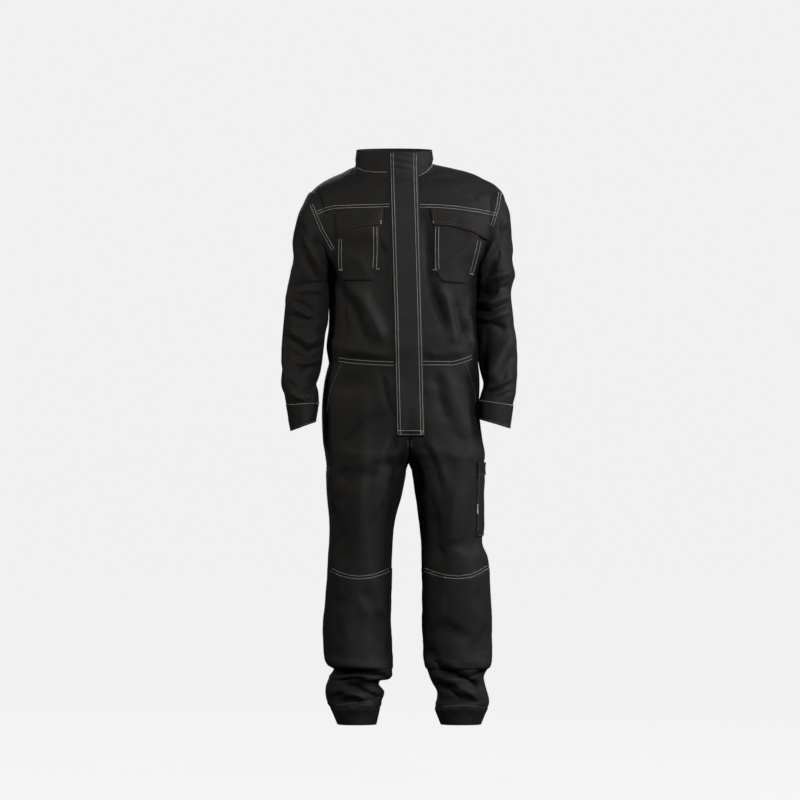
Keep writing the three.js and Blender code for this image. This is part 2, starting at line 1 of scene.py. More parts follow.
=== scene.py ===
# Welding coverall in black twill: cloth, pockets, stitching, finish, camera and light.
# Metres, +Z up. The front faces -Y, and what is named left is on the +X side.
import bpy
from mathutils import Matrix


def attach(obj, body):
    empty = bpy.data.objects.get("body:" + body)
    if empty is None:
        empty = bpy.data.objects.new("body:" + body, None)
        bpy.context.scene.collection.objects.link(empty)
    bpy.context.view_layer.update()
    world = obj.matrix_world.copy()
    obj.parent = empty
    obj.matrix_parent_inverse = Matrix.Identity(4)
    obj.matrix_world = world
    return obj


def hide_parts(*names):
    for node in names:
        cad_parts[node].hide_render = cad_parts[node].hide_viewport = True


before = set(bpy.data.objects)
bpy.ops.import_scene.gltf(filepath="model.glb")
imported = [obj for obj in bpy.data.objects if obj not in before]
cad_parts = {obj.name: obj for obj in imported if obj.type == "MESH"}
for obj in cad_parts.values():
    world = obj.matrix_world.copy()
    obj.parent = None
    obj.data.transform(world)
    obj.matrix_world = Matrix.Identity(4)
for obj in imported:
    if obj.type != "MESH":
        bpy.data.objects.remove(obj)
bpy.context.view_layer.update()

import math

import bpy
import numpy as np
from mathutils import Vector
from mathutils.bvhtree import BVHTree

# Places

pixel = 0.0026  # metres for one pixel of the photograph
photoOrigin = (408, 170)


def fromPhoto(x, y):
    return (x - photoOrigin[0]) * pixel, (photoOrigin[1] - y) * pixel


size = {
    "collarRise": 0.052, "yokeDrop": 0.095, "armholeDrop": 0.25, "bodyLength": 0.502,
    "rise": 0.268, "inseam": 0.671, "sleeveDrop": 0.606, "cuffLength": 0.062,
    "placketDrop": 0.688, "kneeSeamDrop": 1.034, "kneePocketLength": 0.262,
    "collarWidth": 0.2, "collarDepth": 0.152, "shoulderWidth": 0.512,
    "chestWidth": 0.392, "chestDepth": 0.28, "waistWidth": 0.388, "waistDepth": 0.254,
    "hipWidth": 0.416, "hipDepth": 0.264, "thighWidth": 0.196, "thighDepth": 0.222,
    "kneeWidth": 0.172, "kneeDepth": 0.172, "hemWidth": 0.12, "hemDepth": 0.14,
    "sleeveWidth": 0.104, "sleeveDepth": 0.18,
    "yokeFall": 0.021, "kneeArc": 0.023, "cargoWidth": 0.126, "cargoLength": 0.176,
    "cargoDrop": 0.776, "cargoFlap": 0.034, "centreSeam": 0.002,
}
frontOpening = {"x": -0.012, "lean": 0.019}
neckCut = {"height": 0.016, "frontSlope": 0.42, "backSlope": 0.12, "lean": 0.08}
roundness = {"leg": 2.2, "sleeve": 2.1}  # 2 is an ellipse, more is squarer
sides = {"right": -1, "left": 1}
crotchZ = -(size["bodyLength"] + size["rise"])
hemZ = crotchZ - size["inseam"]


def frontLine(z):
    return frontOpening["x"] - frontOpening["lean"] * z / size["placketDrop"]


def yokeLine(x):
    out = np.abs(x - frontLine(-size["yokeDrop"])) / (size["shoulderWidth"] / 2)
    return -size["yokeDrop"] - size["yokeFall"] * out


def neckLine(x, y):
    slope = np.where(y < 0, neckCut["frontSlope"], neckCut["backSlope"])
    return neckCut["height"] + slope * y + neckCut["lean"] * x


# Sections

# Each row is one section: its height and its left, right, front and back edges, as shares of
# named sizes, with tilt (rise from front to back) and square (2 is round).
def trunkSections(columns, rows, length, width, depth):
    sections = []
    for values in rows:
        r = dict(zip(columns.split(), values))
        z = r["z"] * size[length]
        left, right = r["left"] * size[width] / 2, r["right"] * size[width] / 2
        front, back = r["front"] * size[depth] / 2, r["back"] * size[depth] / 2
        sections.append([left, z, right, z, front, back, r.get("tilt", 0), r["square"]])
    return sections


trunkRows = (
    trunkSections("z left right front back tilt square", [
        (1, -1.34, 0.63, -1.02, 0.96, 0.09, 2.1),
        (0.55, -1.37, 0.66, -1.08, 1, 0.2, 2.1),
        (0.13, -1.39, 0.7, -1.13, 1.06, 0.3, 2.1),
    ], "collarRise", "collarWidth", "collarDepth")
    + trunkSections("z left right front back tilt square", [
        (-0.035, -0.66, 0.62, -0.7, 0.68, 0.2, 2.1),
        (-0.11, -0.83, 0.79, -0.79, 0.82, 0.15, 2.1),
        (-0.19, -0.945, 0.895, -0.84, 0.89, 0.1, 2.1),
        (-0.28, -1, 0.96, -0.88, 0.93, 0.05, 2.2),
        (-0.44, -1.02, 0.98, -0.93, 0.98, 0.02, 2.5),
        (-0.64, -0.98, 0.95, -0.98, 1, 0, 2.8),
        (-0.84, -0.91, 0.87, -1, 1, 0, 2.8),
    ], "armholeDrop", "shoulderWidth", "chestDepth")
    + trunkSections("z left right front back square", [
        (-0.51, -1.08, 0.98, -1.02, 0.98, 2.7),
        (-0.64, -1.035, 0.93, -1.02, 0.93, 2.5),
        (-0.8, -1.035, 0.92, -1.02, 0.9, 2.4),
    ], "bodyLength", "chestWidth", "chestDepth")
    + trunkSections("z left right front back square", [
        (-0.91, -1.075, 0.935, -1.12, 1, 2.4),
        (-1, -1.06, 0.94, -1.06, 0.94, 2.4),
    ], "bodyLength", "waistWidth", "waistDepth")
)


# outer and inner are measured from the centre seam, front and back from the side seam's plane.
def legSections(side, hips, thighs, knees, ankles):
    zones = [
        (hips, "rise", "hipWidth", "hipDepth", -size["bodyLength"]),
        (thighs, "inseam", "thighWidth", "thighDepth", crotchZ),
        (knees, "inseam", "kneeWidth", "kneeDepth", crotchZ),
        (ankles, "inseam", "hemWidth", "hemDepth", crotchZ),
    ]
    sections = [trunkRows[-1]]
    for rows, length, width, depth, start in zones:
        for z, outer, inner, front, back in rows:
            left, right = sorted([side * outer * size[width], side * inner * size[width]])
            height = z * size[length] + start
            sections.append([
                size["centreSeam"] + left, height, size["centreSeam"] + right, height,
                front * size[depth] / 2, back * size[depth] / 2, 0, roundness["leg"],
            ])
    return sections


legRows = {
    "right": legSections(-1, [
        (-0.2, 0.53, -0.4, -0.985, 0.94), (-0.45, 0.545, -0.27, -0.965, 0.98),
        (-0.72, 0.54, -0.14, -0.93, 1), (-0.88, 0.525, -0.06, -0.94, 0.98),
    ], [
        (0, 1.094, 0.025, -1.08, 1.12), (-0.04, 1.1, 0.05, -1.05, 1.08),
        (-0.12, 1.085, 0.11, -1.02, 1),
    ], [
        (-0.22, 1.2, 0.23, -1.22, 1.12), (-0.34, 1.21, 0.265, -1.12, 0.98),
        (-0.52, 1.25, 0.285, -1.04, 0.98), (-0.62, 1.29, 0.285, -0.98, 1.06),
        (-0.752, 1.25, 0.26, -1.02, 1.06),
    ], [
        (-0.782, 1.62, 0.375, -1.1, 1.14), (-0.812, 1.72, 0.37, -1.26, 1.28),
        (-0.824, 1.74, 0.43, -1.2, 1.24), (-0.832, 1.76, 0.63, -1.12, 1.18),
        (-0.846, 1.79, 0.65, -1.08, 1.14), (-0.875, 1.81, 0.53, -1.2, 1.24),
        (-0.906, 1.78, 0.58, -1.08, 1.1), (-0.938, 1.7, 0.62, -1.12, 1.1),
        (-0.97, 1.62, 0.66, -1.08, 1.04), (-1, 1.55, 0.7, -1.04, 0.98),
    ]),
    "left": legSections(1, [
        (-0.2, 0.443, -0.46, -0.985, 0.94), (-0.45, 0.441, -0.31, -0.965, 0.98),
        (-0.72, 0.46, -0.16, -0.93, 1), (-0.88, 0.477, -0.06, -0.94, 0.98),
    ], [
        (0, 0.99, 0.02, -1.08, 1.12), (-0.04, 0.99, 0.06, -1.05, 1.08),
        (-0.12, 0.98, 0.1, -1.02, 1),
    ], [
        (-0.22, 1.12, 0.17, -1.22, 1.12), (-0.3, 1.11, 0.2, -1.14, 1),
        (-0.37, 1.2, 0.205, -1.12, 0.96), (-0.52, 1.24, 0.215, -1.04, 0.98),
        (-0.64, 1.25, 0.215, -0.98, 1.06), (-0.757, 1.245, 0.24, -1.02, 1.06),
    ], [
        (-0.782, 1.72, 0.39, -1.1, 1.14), (-0.813, 1.63, 0.45, -1.26, 1.26),
        (-0.844, 1.65, 0.53, -1.08, 1.14), (-0.875, 1.7, 0.61, -1.2, 1.24),
        (-0.906, 1.74, 0.6, -1.08, 1.1), (-0.938, 1.71, 0.56, -1.12, 1.1),
        (-0.97, 1.64, 0.62, -1.08, 1.04), (-1, 1.57, 0.69, -1.04, 0.98),
    ]),
}


# A sleeve's sections fan out round the armhole, then hang. inner and outer edges each have
# their own height.
def sleeveSections(side, armhole, hanging, cuff):
    def edges(out, outZ, inn, inZ):
        outer, inner = [side * out, outZ], [side * inn, inZ]
        return outer + inner if side < 0 else inner + outer

    sections = []
    width, drop, depth = size["shoulderWidth"] / 2, size["armholeDrop"], size["chestDepth"] / 2
    for out, outZ, inn, inZ, front, back, square in armhole:
        ends = edges(out * width, outZ * drop, inn * width, inZ * drop)
        sections.append(ends + [front * depth, back * depth, 0, square])
    drop, depth = size["sleeveDrop"], size["sleeveDepth"] / 2
    for body, inn, inZ, wide, outZ, front, back in hanging:
        innerX = inn * size[body] / 2
        ends = edges(innerX + wide * size["sleeveWidth"], outZ * drop, innerX, inZ * drop)
        sections.append(ends + [front * depth, back * depth, 0, roundness["sleeve"]])
    last = sections[-1]
    step = edges(*[v * size["cuffLength"] for v in cuff])
    cuffEnd = [last[k] + step[k] for k in range(4)] + last[4:]
    return sections, [last, cuffEnd]


sleeveRows = {
    "right": sleeveSections(-1, [
        (0.91, -0.22, 0.7, -0.93, -0.63, 0.64, 2.7), (1.005, -0.24, 0.745, -0.99, -0.64, 0.66, 2.7),
        (1.08, -0.4, 0.77, -1.05, -0.64, 0.64, 2.5), (1.125, -0.56, 0.78, -1.1, -0.64, 0.63, 2.2),
        (1.16, -0.73, 0.79, -1.165, -0.63, 0.6, 2.1),
    ], [
        ("chestWidth", 1.03, -0.52, 0.967, -0.39, -0.97, 0.88),
        ("chestWidth", 1.025, -0.57, 1.034, -0.48, -0.94, 0.8),
        ("chestWidth", 1.05, -0.64, 1.06, -0.59, -0.93, 0.7),
        ("chestWidth", 1.09, -0.7, 1.034, -0.68, -0.93, 0.62),
        ("waistWidth", 1.125, -0.775, 1.025, -0.77, -0.95, 0.5),
        ("waistWidth", 1.17, -0.85, 0.955, -0.85, -1, 0.36),
        ("hipWidth", 1.135, -0.915, 0.875, -0.925, -1.05, 0.22),
        ("hipWidth", 1.12, -0.96, 0.86, -0.97, -1.1, 0.1),
        ("hipWidth", 1.11, -0.997, 0.82, -1.003, -1.1, 0.04),
    ], (-0.19, -1.14, 0.14, -0.82)),
    "left": sleeveSections(1, [
        (0.87, -0.21, 0.66, -0.92, -0.63, 0.64, 2.7), (0.95, -0.24, 0.7, -0.98, -0.64, 0.66, 2.7),
        (1.005, -0.39, 0.72, -1.05, -0.64, 0.64, 2.5), (1.03, -0.55, 0.73, -1.1, -0.64, 0.63, 2.2),
        (1.05, -0.74, 0.74, -1.17, -0.63, 0.6, 2.1),
    ], [
        ("chestWidth", 0.95, -0.52, 0.863, -0.39, -0.97, 0.88),
        ("chestWidth", 0.935, -0.56, 0.946, -0.45, -0.95, 0.82),
        ("chestWidth", 0.917, -0.61, 0.885, -0.53, -0.93, 0.74),
        ("chestWidth", 0.917, -0.67, 0.937, -0.635, -0.93, 0.64),
        ("waistWidth", 0.932, -0.735, 0.967, -0.725, -0.94, 0.54),
        ("waistWidth", 0.945, -0.825, 0.942, -0.835, -1, 0.38),
        ("hipWidth", 0.92, -0.91, 0.835, -0.925, -1.05, 0.22),
        ("hipWidth", 0.902, -0.957, 0.84, -0.977, -1.1, 0.1),
        ("hipWidth", 0.887, -0.984, 0.845, -1.006, -1.1, 0.04),
    ], (-0.13, -1, 0.02, -0.84)),
}


# Cloth as grids of points

def distances(points):
    # distance along a row of points to each of them, on a grid the mean of its columns
    steps = np.linalg.norm(np.diff(points, axis=0), axis=-1)
    if steps.ndim > 1:
        steps = steps.mean(axis=1)
    return np.concatenate([[0], np.cumsum(steps)])


def pointsAt(at, run, points):
    # the places at some distances along a row of points
    return np.stack([np.interp(at, run, points[:, k]) for k in range(points.shape[1])], axis=-1)


# A tube of cloth is an array of points [row down the tube, column round it, xyz]. Column 0 is
# the left edge, a quarter on is the front, a half the right edge.
def tube(rows, around, step):
    rows = np.array(rows, float)
    samples = []
    for i in range(len(rows) - 1):
        a, b = rows[max(0, i - 1)], rows[i]
        c, d = rows[i + 1], rows[min(len(rows) - 1, i + 2)]
        slopeIn, slopeOut = (c - a) / 2, (d - b) / 2
        travel = max(np.hypot(*(b[:2] - c[:2])), np.hypot(*(b[2:4] - c[2:4])))
        count = max(1, round(travel / step))
        for t in np.arange(count) / count:
            cubic = 3 * (c - b) - 2 * slopeIn - slopeOut + t * (2 * (b - c) + slopeIn + slopeOut)
            samples.append(b + t * (slopeIn + t * cubic))
    samples.append(rows[-1])
    left, leftZ, right, rightZ, front, back, tilt, square = np.array(samples).T[:, :, None]
    fine = 96
    turn = np.arange(4 * fine + 1) * (math.pi / 2 / fine)
    cos, sin = np.cos(turn)[None, :], np.sin(turn)[None, :]
    c = np.sign(cos) * np.abs(cos) ** (2 / square)
    s = np.sign(sin) * np.abs(sin) ** (2 / square)
    c[:, [fine, 3 * fine]] = 0
    s[:, [0, 2 * fine, 4 * fine]] = 0
    x = (left + right) / 2 + c * (left - right) / 2
    y = (front + back) / 2 + s * (front - back) / 2
    z = (leftZ + rightZ) / 2 + c * (leftZ - rightZ) / 2 + tilt * y
    dense = np.stack([x, y, z], axis=2)
    quarter = around // 4
    grid = np.zeros((len(samples), around, 3))
    for r in range(len(samples)):
        for q in range(4):
            part = dense[r, q * fine:(q + 1) * fine + 1]
            run = distances(part)
            at = np.arange(quarter) / quarter * run[-1]
            grid[r, q * quarter:(q + 1) * quarter] = pointsAt(at, run, part)
    return grid


def normalsOf(grid, closed=True):
    down = np.gradient(grid, axis=0)
    if closed:
        across = np.roll(grid, -1, axis=1) - np.roll(grid, 1, axis=1)
    else:
        across = np.gradient(grid, axis=1)
    normal = np.cross(down, across)
    return normal / (np.linalg.norm(normal, axis=2, keepdims=True) + 1e-12)


def blur(field, rows, columns, closed=True):
    # soft average of a grid, with a reach in rows and in columns
    out = field.copy()
    for axis, reach in ((0, rows), (1, columns)):
        if reach <= 0:
            continue
        span = int(3 * reach) + 1
        weights = np.exp(-0.5 * (np.arange(-span, span + 1) / reach) ** 2)
        weights /= weights.sum()
        mode = "wrap" if axis == 1 and closed else "edge"
        padding = [(0, 0)] * field.ndim
        padding[axis] = (span, span)
        padded = np.pad(out, padding, mode=mode)
        total = np.zeros_like(out)
        for k, w in enumerate(weights):
            total += w * np.take(padded, np.arange(k, k + out.shape[axis]), axis=axis)
        out = total
    return out


def finer(grid):
    # twice the rows and columns, on smooth curves through the given points
    padded = np.concatenate([2 * grid[:1] - grid[1:2], grid, 2 * grid[-1:] - grid[-2:-1]])
    middle = (9 * (padded[1:-2] + padded[2:-1]) - padded[:-3] - padded[3:]) / 16
    rows = np.empty((2 * len(grid) - 1,) + grid.shape[1:])
    rows[0::2] = grid
    rows[1::2] = middle
    middle = (9 * (rows + np.roll(rows, -1, 1)) - np.roll(rows, 1, 1) - np.roll(rows, -2, 1)) / 16
    out = np.empty((rows.shape[0], 2 * rows.shape[1], 3))
    out[:, 0::2] = rows
    out[:, 1::2] = middle
    return out


def gridNoise(points, cell, seed):
    # smooth noise from -1 to 1 with features about one cell wide, repeated after some cells
    period = 32
    lattice = np.random.RandomState(seed).uniform(-1, 1, (period, period, period))
    q = points / cell + 100
    base = np.floor(q).astype(int)
    t = q - base
    t = t * t * (3 - 2 * t)
    total = 0
    for corner in np.ndindex(2, 2, 2):
        value = lattice[tuple((base[..., k] + corner[k]) % period for k in range(3))]
        for k in range(3):
            value = value * (t[..., k] if corner[k] else 1 - t[..., k])
        total = total + value
    return total


def smooth(edge0, edge1, value):
    t = np.clip((value - edge0) / (edge1 - edge0), 0, 1)
    return t * t * (3 - 2 * t)


def alongPath(points, path):
    # distance in pixels from each point to a path in the front view, and the share along it
    px = photoOrigin[0] + points[..., 0] / pixel
    py = photoOrigin[1] - points[..., 2] / pixel
    nearest = np.full(px.shape, 1e9)
    share = np.zeros(px.shape)
    lengths = [math.dist(path[k], path[k + 1]) for k in range(len(path) - 1)]
    done = 0.0
    for k, length in enumerate(lengths):
        (ax, ay), (bx, by) = path[k], path[k + 1]
        t = np.clip(((px - ax) * (bx - ax) + (py - ay) * (by - ay)) / length ** 2, 0, 1)
        distance = np.hypot(px - ax - t * (bx - ax), py - ay - t * (by - ay))
        closer = distance < nearest
        nearest = np.where(closer, distance, nearest)
        share = np.where(closer, (done + t * length) / sum(lengths), share)
        done += length
    return nearest, share


# Folds read from the photograph. height in millimetres, below 0 for a valley, width in pixels,
# sharp is 1 for a crease and 0 for a soft fold, and path is in the photograph's pixels.
foldColumns = "height width sharp path"
foldStrength = 1.7
foldEnds = 0.22            # share of a fold's length over which it fades
foldFacing = (0.08, 0.55)  # how far cloth has to face the fold's side to take none and all of it
folds = {
    "trunk": [
        (8, 8, 0.2, [(352, 284), (362, 298), (374, 320), (384, 342)]),
        (-6, 6, 0.3, [(343, 292), (354, 312), (361, 332), (370, 347)]),
        (3.2, 5, 0.1, [(342, 348), (366, 353), (394, 356)]),
        (-4, 4, 0.3, [(332, 262), (337, 280), (341, 296)]),
        (-5, 6, 0.2, [(427, 222), (428, 250), (429, 284)]),
        (6, 6, 0.2, [(438, 284), (446, 300), (452, 330), (456, 350)]),
        (-6, 5, 0.3, [(431, 288), (439, 308), (447, 330)]),
        (-6, 5, 0.4, [(456, 300), (460, 322), (466, 343)]),
        (6, 5, 0.2, [(465, 312), (469, 332), (471, 350)]),
        (2.4, 5, 0.1, [(424, 353), (446, 355), (468, 349)]),
        (-3, 3, 0.5, [(382, 242), (386, 262), (384, 284)]),
        (3, 6, 0.1, [(346, 188), (366, 194), (386, 190)]),
        (-3, 4, 0.4, [(438, 171), (450, 174), (462, 180)]),
        (3, 5, 0.2, [(440, 182), (456, 190), (476, 196)]),
        (-3, 4, 0.4, [(462, 184), (470, 194), (478, 202)]),
        (-4, 5, 0.3, [(472, 270), (470, 290), (466, 306)]),
    ],
    "right sleeve": [
        (7, 5, 0.2, [(306, 236), (314, 256), (325, 280)]),
        (-6, 4, 0.5, [(301, 242), (308, 262), (318, 282)]),
        (-4, 3, 0.6, [(312, 238), (322, 246), (331, 254)]),
        (-3.5, 2.5, 0.8, [(296, 287), (308, 284), (325, 284)]),
        (3, 3, 0.4, [(298, 292), (310, 290), (324, 292)]),
        (-3.5, 2.5, 0.8, [(295, 302), (305, 306), (314, 313)]),
        (3.5, 3, 0.4, [(294, 308), (304, 313), (312, 320)]),
        (-3.5, 2.5, 0.8, [(290, 316), (302, 319), (317, 321)]),
        (-5.5, 3, 0.8, [(287, 338), (300, 346), (308, 352), (323, 346)]),
        (4.5, 3.5, 0.3, [(290, 330), (302, 338), (310, 343), (322, 338)]),
        (-4, 3, 0.8, [(291, 352), (304, 358), (312, 360), (321, 354)]),
        (4, 3.5, 0.3, [(296, 362), (306, 363), (318, 360)]),
        (-4.5, 3, 0.8, [(296, 376), (305, 369), (313, 366), (323, 370)]),
        (-4, 3, 0.7, [(287, 381), (300, 391), (316, 390)]),
        (4, 3.5, 0.3, [(288, 390), (300, 398), (314, 397)]),
        (-3, 2, 0.9, [(304, 394), (308, 402)]),
        (-3, 2, 0.9, [(311, 392), (313, 402)]),
        (-3, 2, 0.9, [(318, 391), (317, 402)]),
        (5, 5, 0.1, [(292, 250), (288, 280), (286, 310)]),
    ],
    "left sleeve": [
        (7, 5, 0.2, [(493, 238), (485, 262), (478, 284)]),
        (-6, 4, 0.4, [(485, 238), (478, 258), (474, 276)]),
        (6.5, 4, 0.4, [(478, 286), (490, 280), (511, 271)]),
        (-6, 3.5, 0.6, [(480, 295), (494, 293), (511, 285)]),
        (5.5, 4, 0.4, [(474, 303), (492, 303), (511, 294)]),
        (-5, 3, 0.7, [(472, 309), (490, 312), (511, 302)]),
        (4, 3.5, 0.4, [(472, 316), (488, 320), (512, 310)]),
        (-5, 3.5, 0.6, [(474, 323), (490, 324), (508, 330)]),
        (-5, 5, 0.2, [(484, 338), (482, 360), (484, 384)]),
        (7, 6, 0.2, [(512, 336), (502, 352), (494, 368), (490, 384)]),
        (-4, 4, 0.4, [(514, 352), (506, 368), (502, 382)]),
        (-4.5, 2.5, 0.8, [(482, 395), (494, 391), (514, 383)]),
        (4, 3, 0.4, [(484, 390), (496, 386), (512, 377)]),
        (-4, 2.5, 0.8, [(484, 399), (498, 397), (513, 391)]),
        (3.5, 4, 0.3, [(504, 214), (507, 236), (510, 256)]),
        (-3, 3, 0.6, [(499, 222), (500, 246), (497, 264)]),
    ],
    "right leg": [
        (-1.6, 1.6, 0.8, [(339, 363), (330, 382), (326, 396), (323.6, 414)]),
        (2.5, 7, 0, [(362, 374), (364, 420), (362, 470), (360, 556)]),
        (-2.5, 6, 0.1, [(344, 430), (343, 480), (343, 556)]),
        (-3.5, 4, 0.4, [(398, 437), (390, 452), (384, 472)]),
        (2.5, 5, 0.2, [(391, 434), (380, 460), (374, 496)]),
        (-5, 4, 0.4, [(405, 452), (398, 470), (391, 490)]),
        (-3, 3, 0.4, [(382, 372), (386, 396), (394, 420)]),
        (3, 4, 0.3, [(381, 604), (385, 622), (387, 644)]),
        (-3, 4, 0.3, [(375, 606), (379, 626), (382, 648)]),
        (3, 8, 0, [(346, 600), (342, 632), (340, 655)]),
        (-10, 3, 0.7, [(330, 672), (346, 671), (364, 671), (381, 675), (392, 678)]),
        (6, 4, 0.2, [(332, 665), (350, 664), (372, 667), (390, 671)]),
        (4, 2.5, 0.4, [(344, 676), (356, 674), (370, 676)]),
        (-6, 2.5, 0.8, [(336, 680), (350, 678), (364, 678)]),
        (-8, 3, 0.7, [(344, 684), (358, 686), (370, 691), (380, 698)]),
        (6, 4, 0.2, [(340, 690), (356, 693), (368, 699)]),
        (-5, 3, 0.6, [(330, 698), (344, 691), (358, 689), (372, 692)]),
        (4, 5, 0.1, [(345, 708), (360, 704), (376, 706)]),
    ],
    "left leg": [
        (-1.6, 1.6, 0.8, [(467.7, 361), (473, 373), (478, 392), (480, 412)]),
        (3.5, 7, 0.1, [(446, 368), (454, 396), (464, 420), (474, 440)]),
        (-4, 6, 0.1, [(436, 370), (440, 396), (448, 424)]),
        (-3.5, 4, 0.4, [(419, 437), (428, 452), (436, 470), (441, 494)]),
        (2.5, 5, 0.2, [(428, 436), (438, 458), (446, 484)]),
        (-4, 4, 0.4, [(411, 452), (418, 470), (424, 494)]),
        (2.5, 7, 0.1, [(458, 480), (454, 512), (450, 548)]),
        (-4, 7, 0.1, [(434, 510), (437, 536), (440, 562)]),
        (-3, 6, 0.1, [(474, 500), (472, 530), (474, 560)]),
        (3, 6, 0.1, [(440, 590), (438, 620), (437, 650)]),
        (-6, 5, 0.3, [(429, 646), (434, 656), (442, 666)]),
        (-9, 3, 0.7, [(427, 656), (438, 667), (451, 673), (467, 678)]),
        (6, 4, 0.2, [(446, 662), (460, 669), (474, 669), (491, 662)]),
        (-7, 2.5, 0.7, [(468, 677), (478, 673), (490, 668)]),
        (-9, 3, 0.7, [(452, 671), (466, 677), (478, 684), (488, 698)]),
        (5, 4, 0.2, [(440, 676), (456, 683), (470, 692), (480, 702)]),
        (-5, 3, 0.6, [(438, 684), (450, 690), (462, 699)]),
        (4, 5, 0.1, [(446, 708), (462, 704), (480, 706)]),
    ],
}
# Folds on the back, in the same places seen through the garment
backFolds = {
    "trunk": [
        (6, 8, 0.1, [(352, 350), (380, 353), (430, 353), (468, 347)]),
        (-5, 6, 0.2, [(356, 300), (372, 318), (396, 330)]),
        (5, 7, 0.1, [(366, 288), (386, 304), (408, 312), (440, 306)]),
        (-4, 6, 0.2, [(456, 290), (446, 310), (432, 326)]),
        (4, 7, 0.1, [(340, 236), (352, 262), (358, 286)]),
        (4, 7, 0.1, [(474, 236), (466, 262), (460, 286)]),
        (-4, 6, 0.1, [(374, 212), (380, 246), (378, 280)]),
        (-4, 6, 0.1, [(440, 212), (434, 246), (436, 280)]),
    ],
    "right sleeve": [
        (5, 5, 0.3, [(288, 330), (304, 322), (322, 330)]),
        (-5, 4, 0.6, [(288, 340), (304, 332), (322, 338)]),
        (-4, 4, 0.5, [(292, 300), (306, 294), (324, 298)]),
        (-4, 3, 0.6, [(288, 376), (304, 382), (320, 376)]),
    ],
    "left sleeve": [
        (5, 5, 0.3, [(482, 326), (496, 320), (514, 328)]),
        (-5, 4, 0.6, [(482, 336), (496, 330), (514, 336)]),
        (-4, 4, 0.5, [(480, 300), (496, 294), (512, 298)]),
        (-4, 3, 0.6, [(482, 378), (496, 384), (512, 378)]),
    ],
    "right leg": [
        (-5, 5, 0.3, [(400, 440), (386, 458), (366, 466)]),
        (5, 6, 0.1, [(398, 428), (380, 444), (356, 450)]),
        (-4, 5, 0.4, [(336, 560), (360, 572), (386, 562)]),
        (4, 6, 0.2, [(336, 570), (360, 582), (386, 574)]),
        (-4, 5, 0.4, [(338, 586), (362, 594), (384, 588)]),
        (-9, 3.5, 0.7, [(332, 674), (356, 680), (390, 672)]),
        (-8, 3.5, 0.7, [(332, 694), (356, 690), (382, 698)]),
    ],
    "left leg": [
        (-5, 5, 0.3, [(416, 440), (430, 458), (450, 466)]),
        (5, 6, 0.1, [(418, 428), (436, 444), (460, 450)]),
        (-4, 5, 0.4, [(430, 560), (456, 572), (482, 562)]),
        (4, 6, 0.2, [(430, 570), (456, 582), (482, 574)]),
        (-4, 5, 0.4, [(432, 586), (456, 594), (482, 588)]),
        (-9, 3.5, 0.7, [(428, 672), (456, 680), (488, 674)]),
        (-8, 3.5, 0.7, [(438, 698), (462, 690), (486, 696)]),
    ],
}


def foldHeight(grid, normal, name):
    # height in metres that the folds add to each point
    total = np.zeros(grid.shape[:2])
    for table, facing in ((folds, -normal[..., 1]), (backFolds, normal[..., 1])):
        weight = smooth(*foldFacing, facing)
        for values in table[name]:
            fold = dict(zip(foldColumns.split(), values))
            distance, share = alongPath(grid, fold["path"])
            d = distance / fold["width"]
            soft = np.exp(-d * d)
            crease = np.exp(-1.6 * d)
            profile = soft + fold["sharp"] * (crease - soft)
            fade = smooth(0, foldEnds, share) * smooth(0, foldEnds, 1 - share)
            total += 0.001 * foldStrength * fold["height"] * profile * (0.25 + 0.75 * fade) * weight
    return total


# Cloth simulation

simulation = {
    "frames": 14,
    "grow": 0.04,       # extra cloth, so that it buckles
    "sleeveGrow": 1.2,  # of that
    "reach": 0.0035,    # farthest that a point may move
    "calm": 1.4,        # reach in cells of what is smoothed away
    "swelling": 9,      # reach in cells of the broad swelling that is taken off
    "cloth": {
        "quality": 4, "mass": 0.25, "tension_stiffness": 12, "compression_stiffness": 12,
        "shear_stiffness": 4, "bending_stiffness": 0.6, "air_damping": 3,
    },
}


def simulate(name, grid, free, grow):
    # Blender's cloth on the tube, held where free is 0; only its folds are kept, not its swelling
    rows, around = grid.shape[:2]
    index = np.arange(rows * around).reshape(rows, around)
    below, beside = index[1:], np.roll(index, -1, axis=1)
    quads = np.stack([index[:-1], below, np.roll(below, -1, axis=1), beside[:-1]], axis=2)
    mesh = bpy.data.meshes.new(name)
    mesh.from_pydata(grid.reshape(-1, 3).tolist(), [], quads.reshape(-1, 4).tolist())
    cloth = bpy.data.objects.new(name, mesh)
    bpy.context.scene.collection.objects.link(cloth)
    held = cloth.vertex_groups.new(name="held")
    hold = np.round(1 - free.reshape(-1), 2)
    for weight in np.unique(hold):
        if weight > 0:
            held.add(np.flatnonzero(hold == weight).tolist(), float(weight), "REPLACE")
    modifier = cloth.modifiers.new("cloth", "CLOTH")
    settings = modifier.settings
    for key, value in simulation["cloth"].items():
        setattr(settings, key, value)
    settings.shrink_min = -grow
    settings.vertex_group_mass = "held"
    settings.pin_stiffness = 1
    settings.effector_weights.gravity = 0
    modifier.collision_settings.use_collision = False
    modifier.point_cache.frame_start = 1
    modifier.point_cache.frame_end = simulation["frames"]
    for f in range(1, simulation["frames"] + 1):
        bpy.context.scene.frame_set(f)
    evaluated = cloth.evaluated_get(bpy.context.evaluated_depsgraph_get())
    moved = np.zeros(rows * around * 3)
    evaluated.data.vertices.foreach_get("co", moved)
    bpy.data.objects.remove(cloth)
    bpy.context.scene.frame_set(1)
    move = moved.reshape(grid.shape) - grid
    swelling = blur(move, simulation["swelling"], simulation["swelling"])
    move = blur(move, simulation["calm"], simulation["calm"]) - swelling
    length = np.linalg.norm(move, axis=2, keepdims=True) + 1e-9
    move *= np.minimum(1, simulation["reach"] / length)
    print(name, "simulated, largest move", round(float(length.max()) * 1000, 1), "mm")
    return grid + move * free[..., None]


# Building the tubes

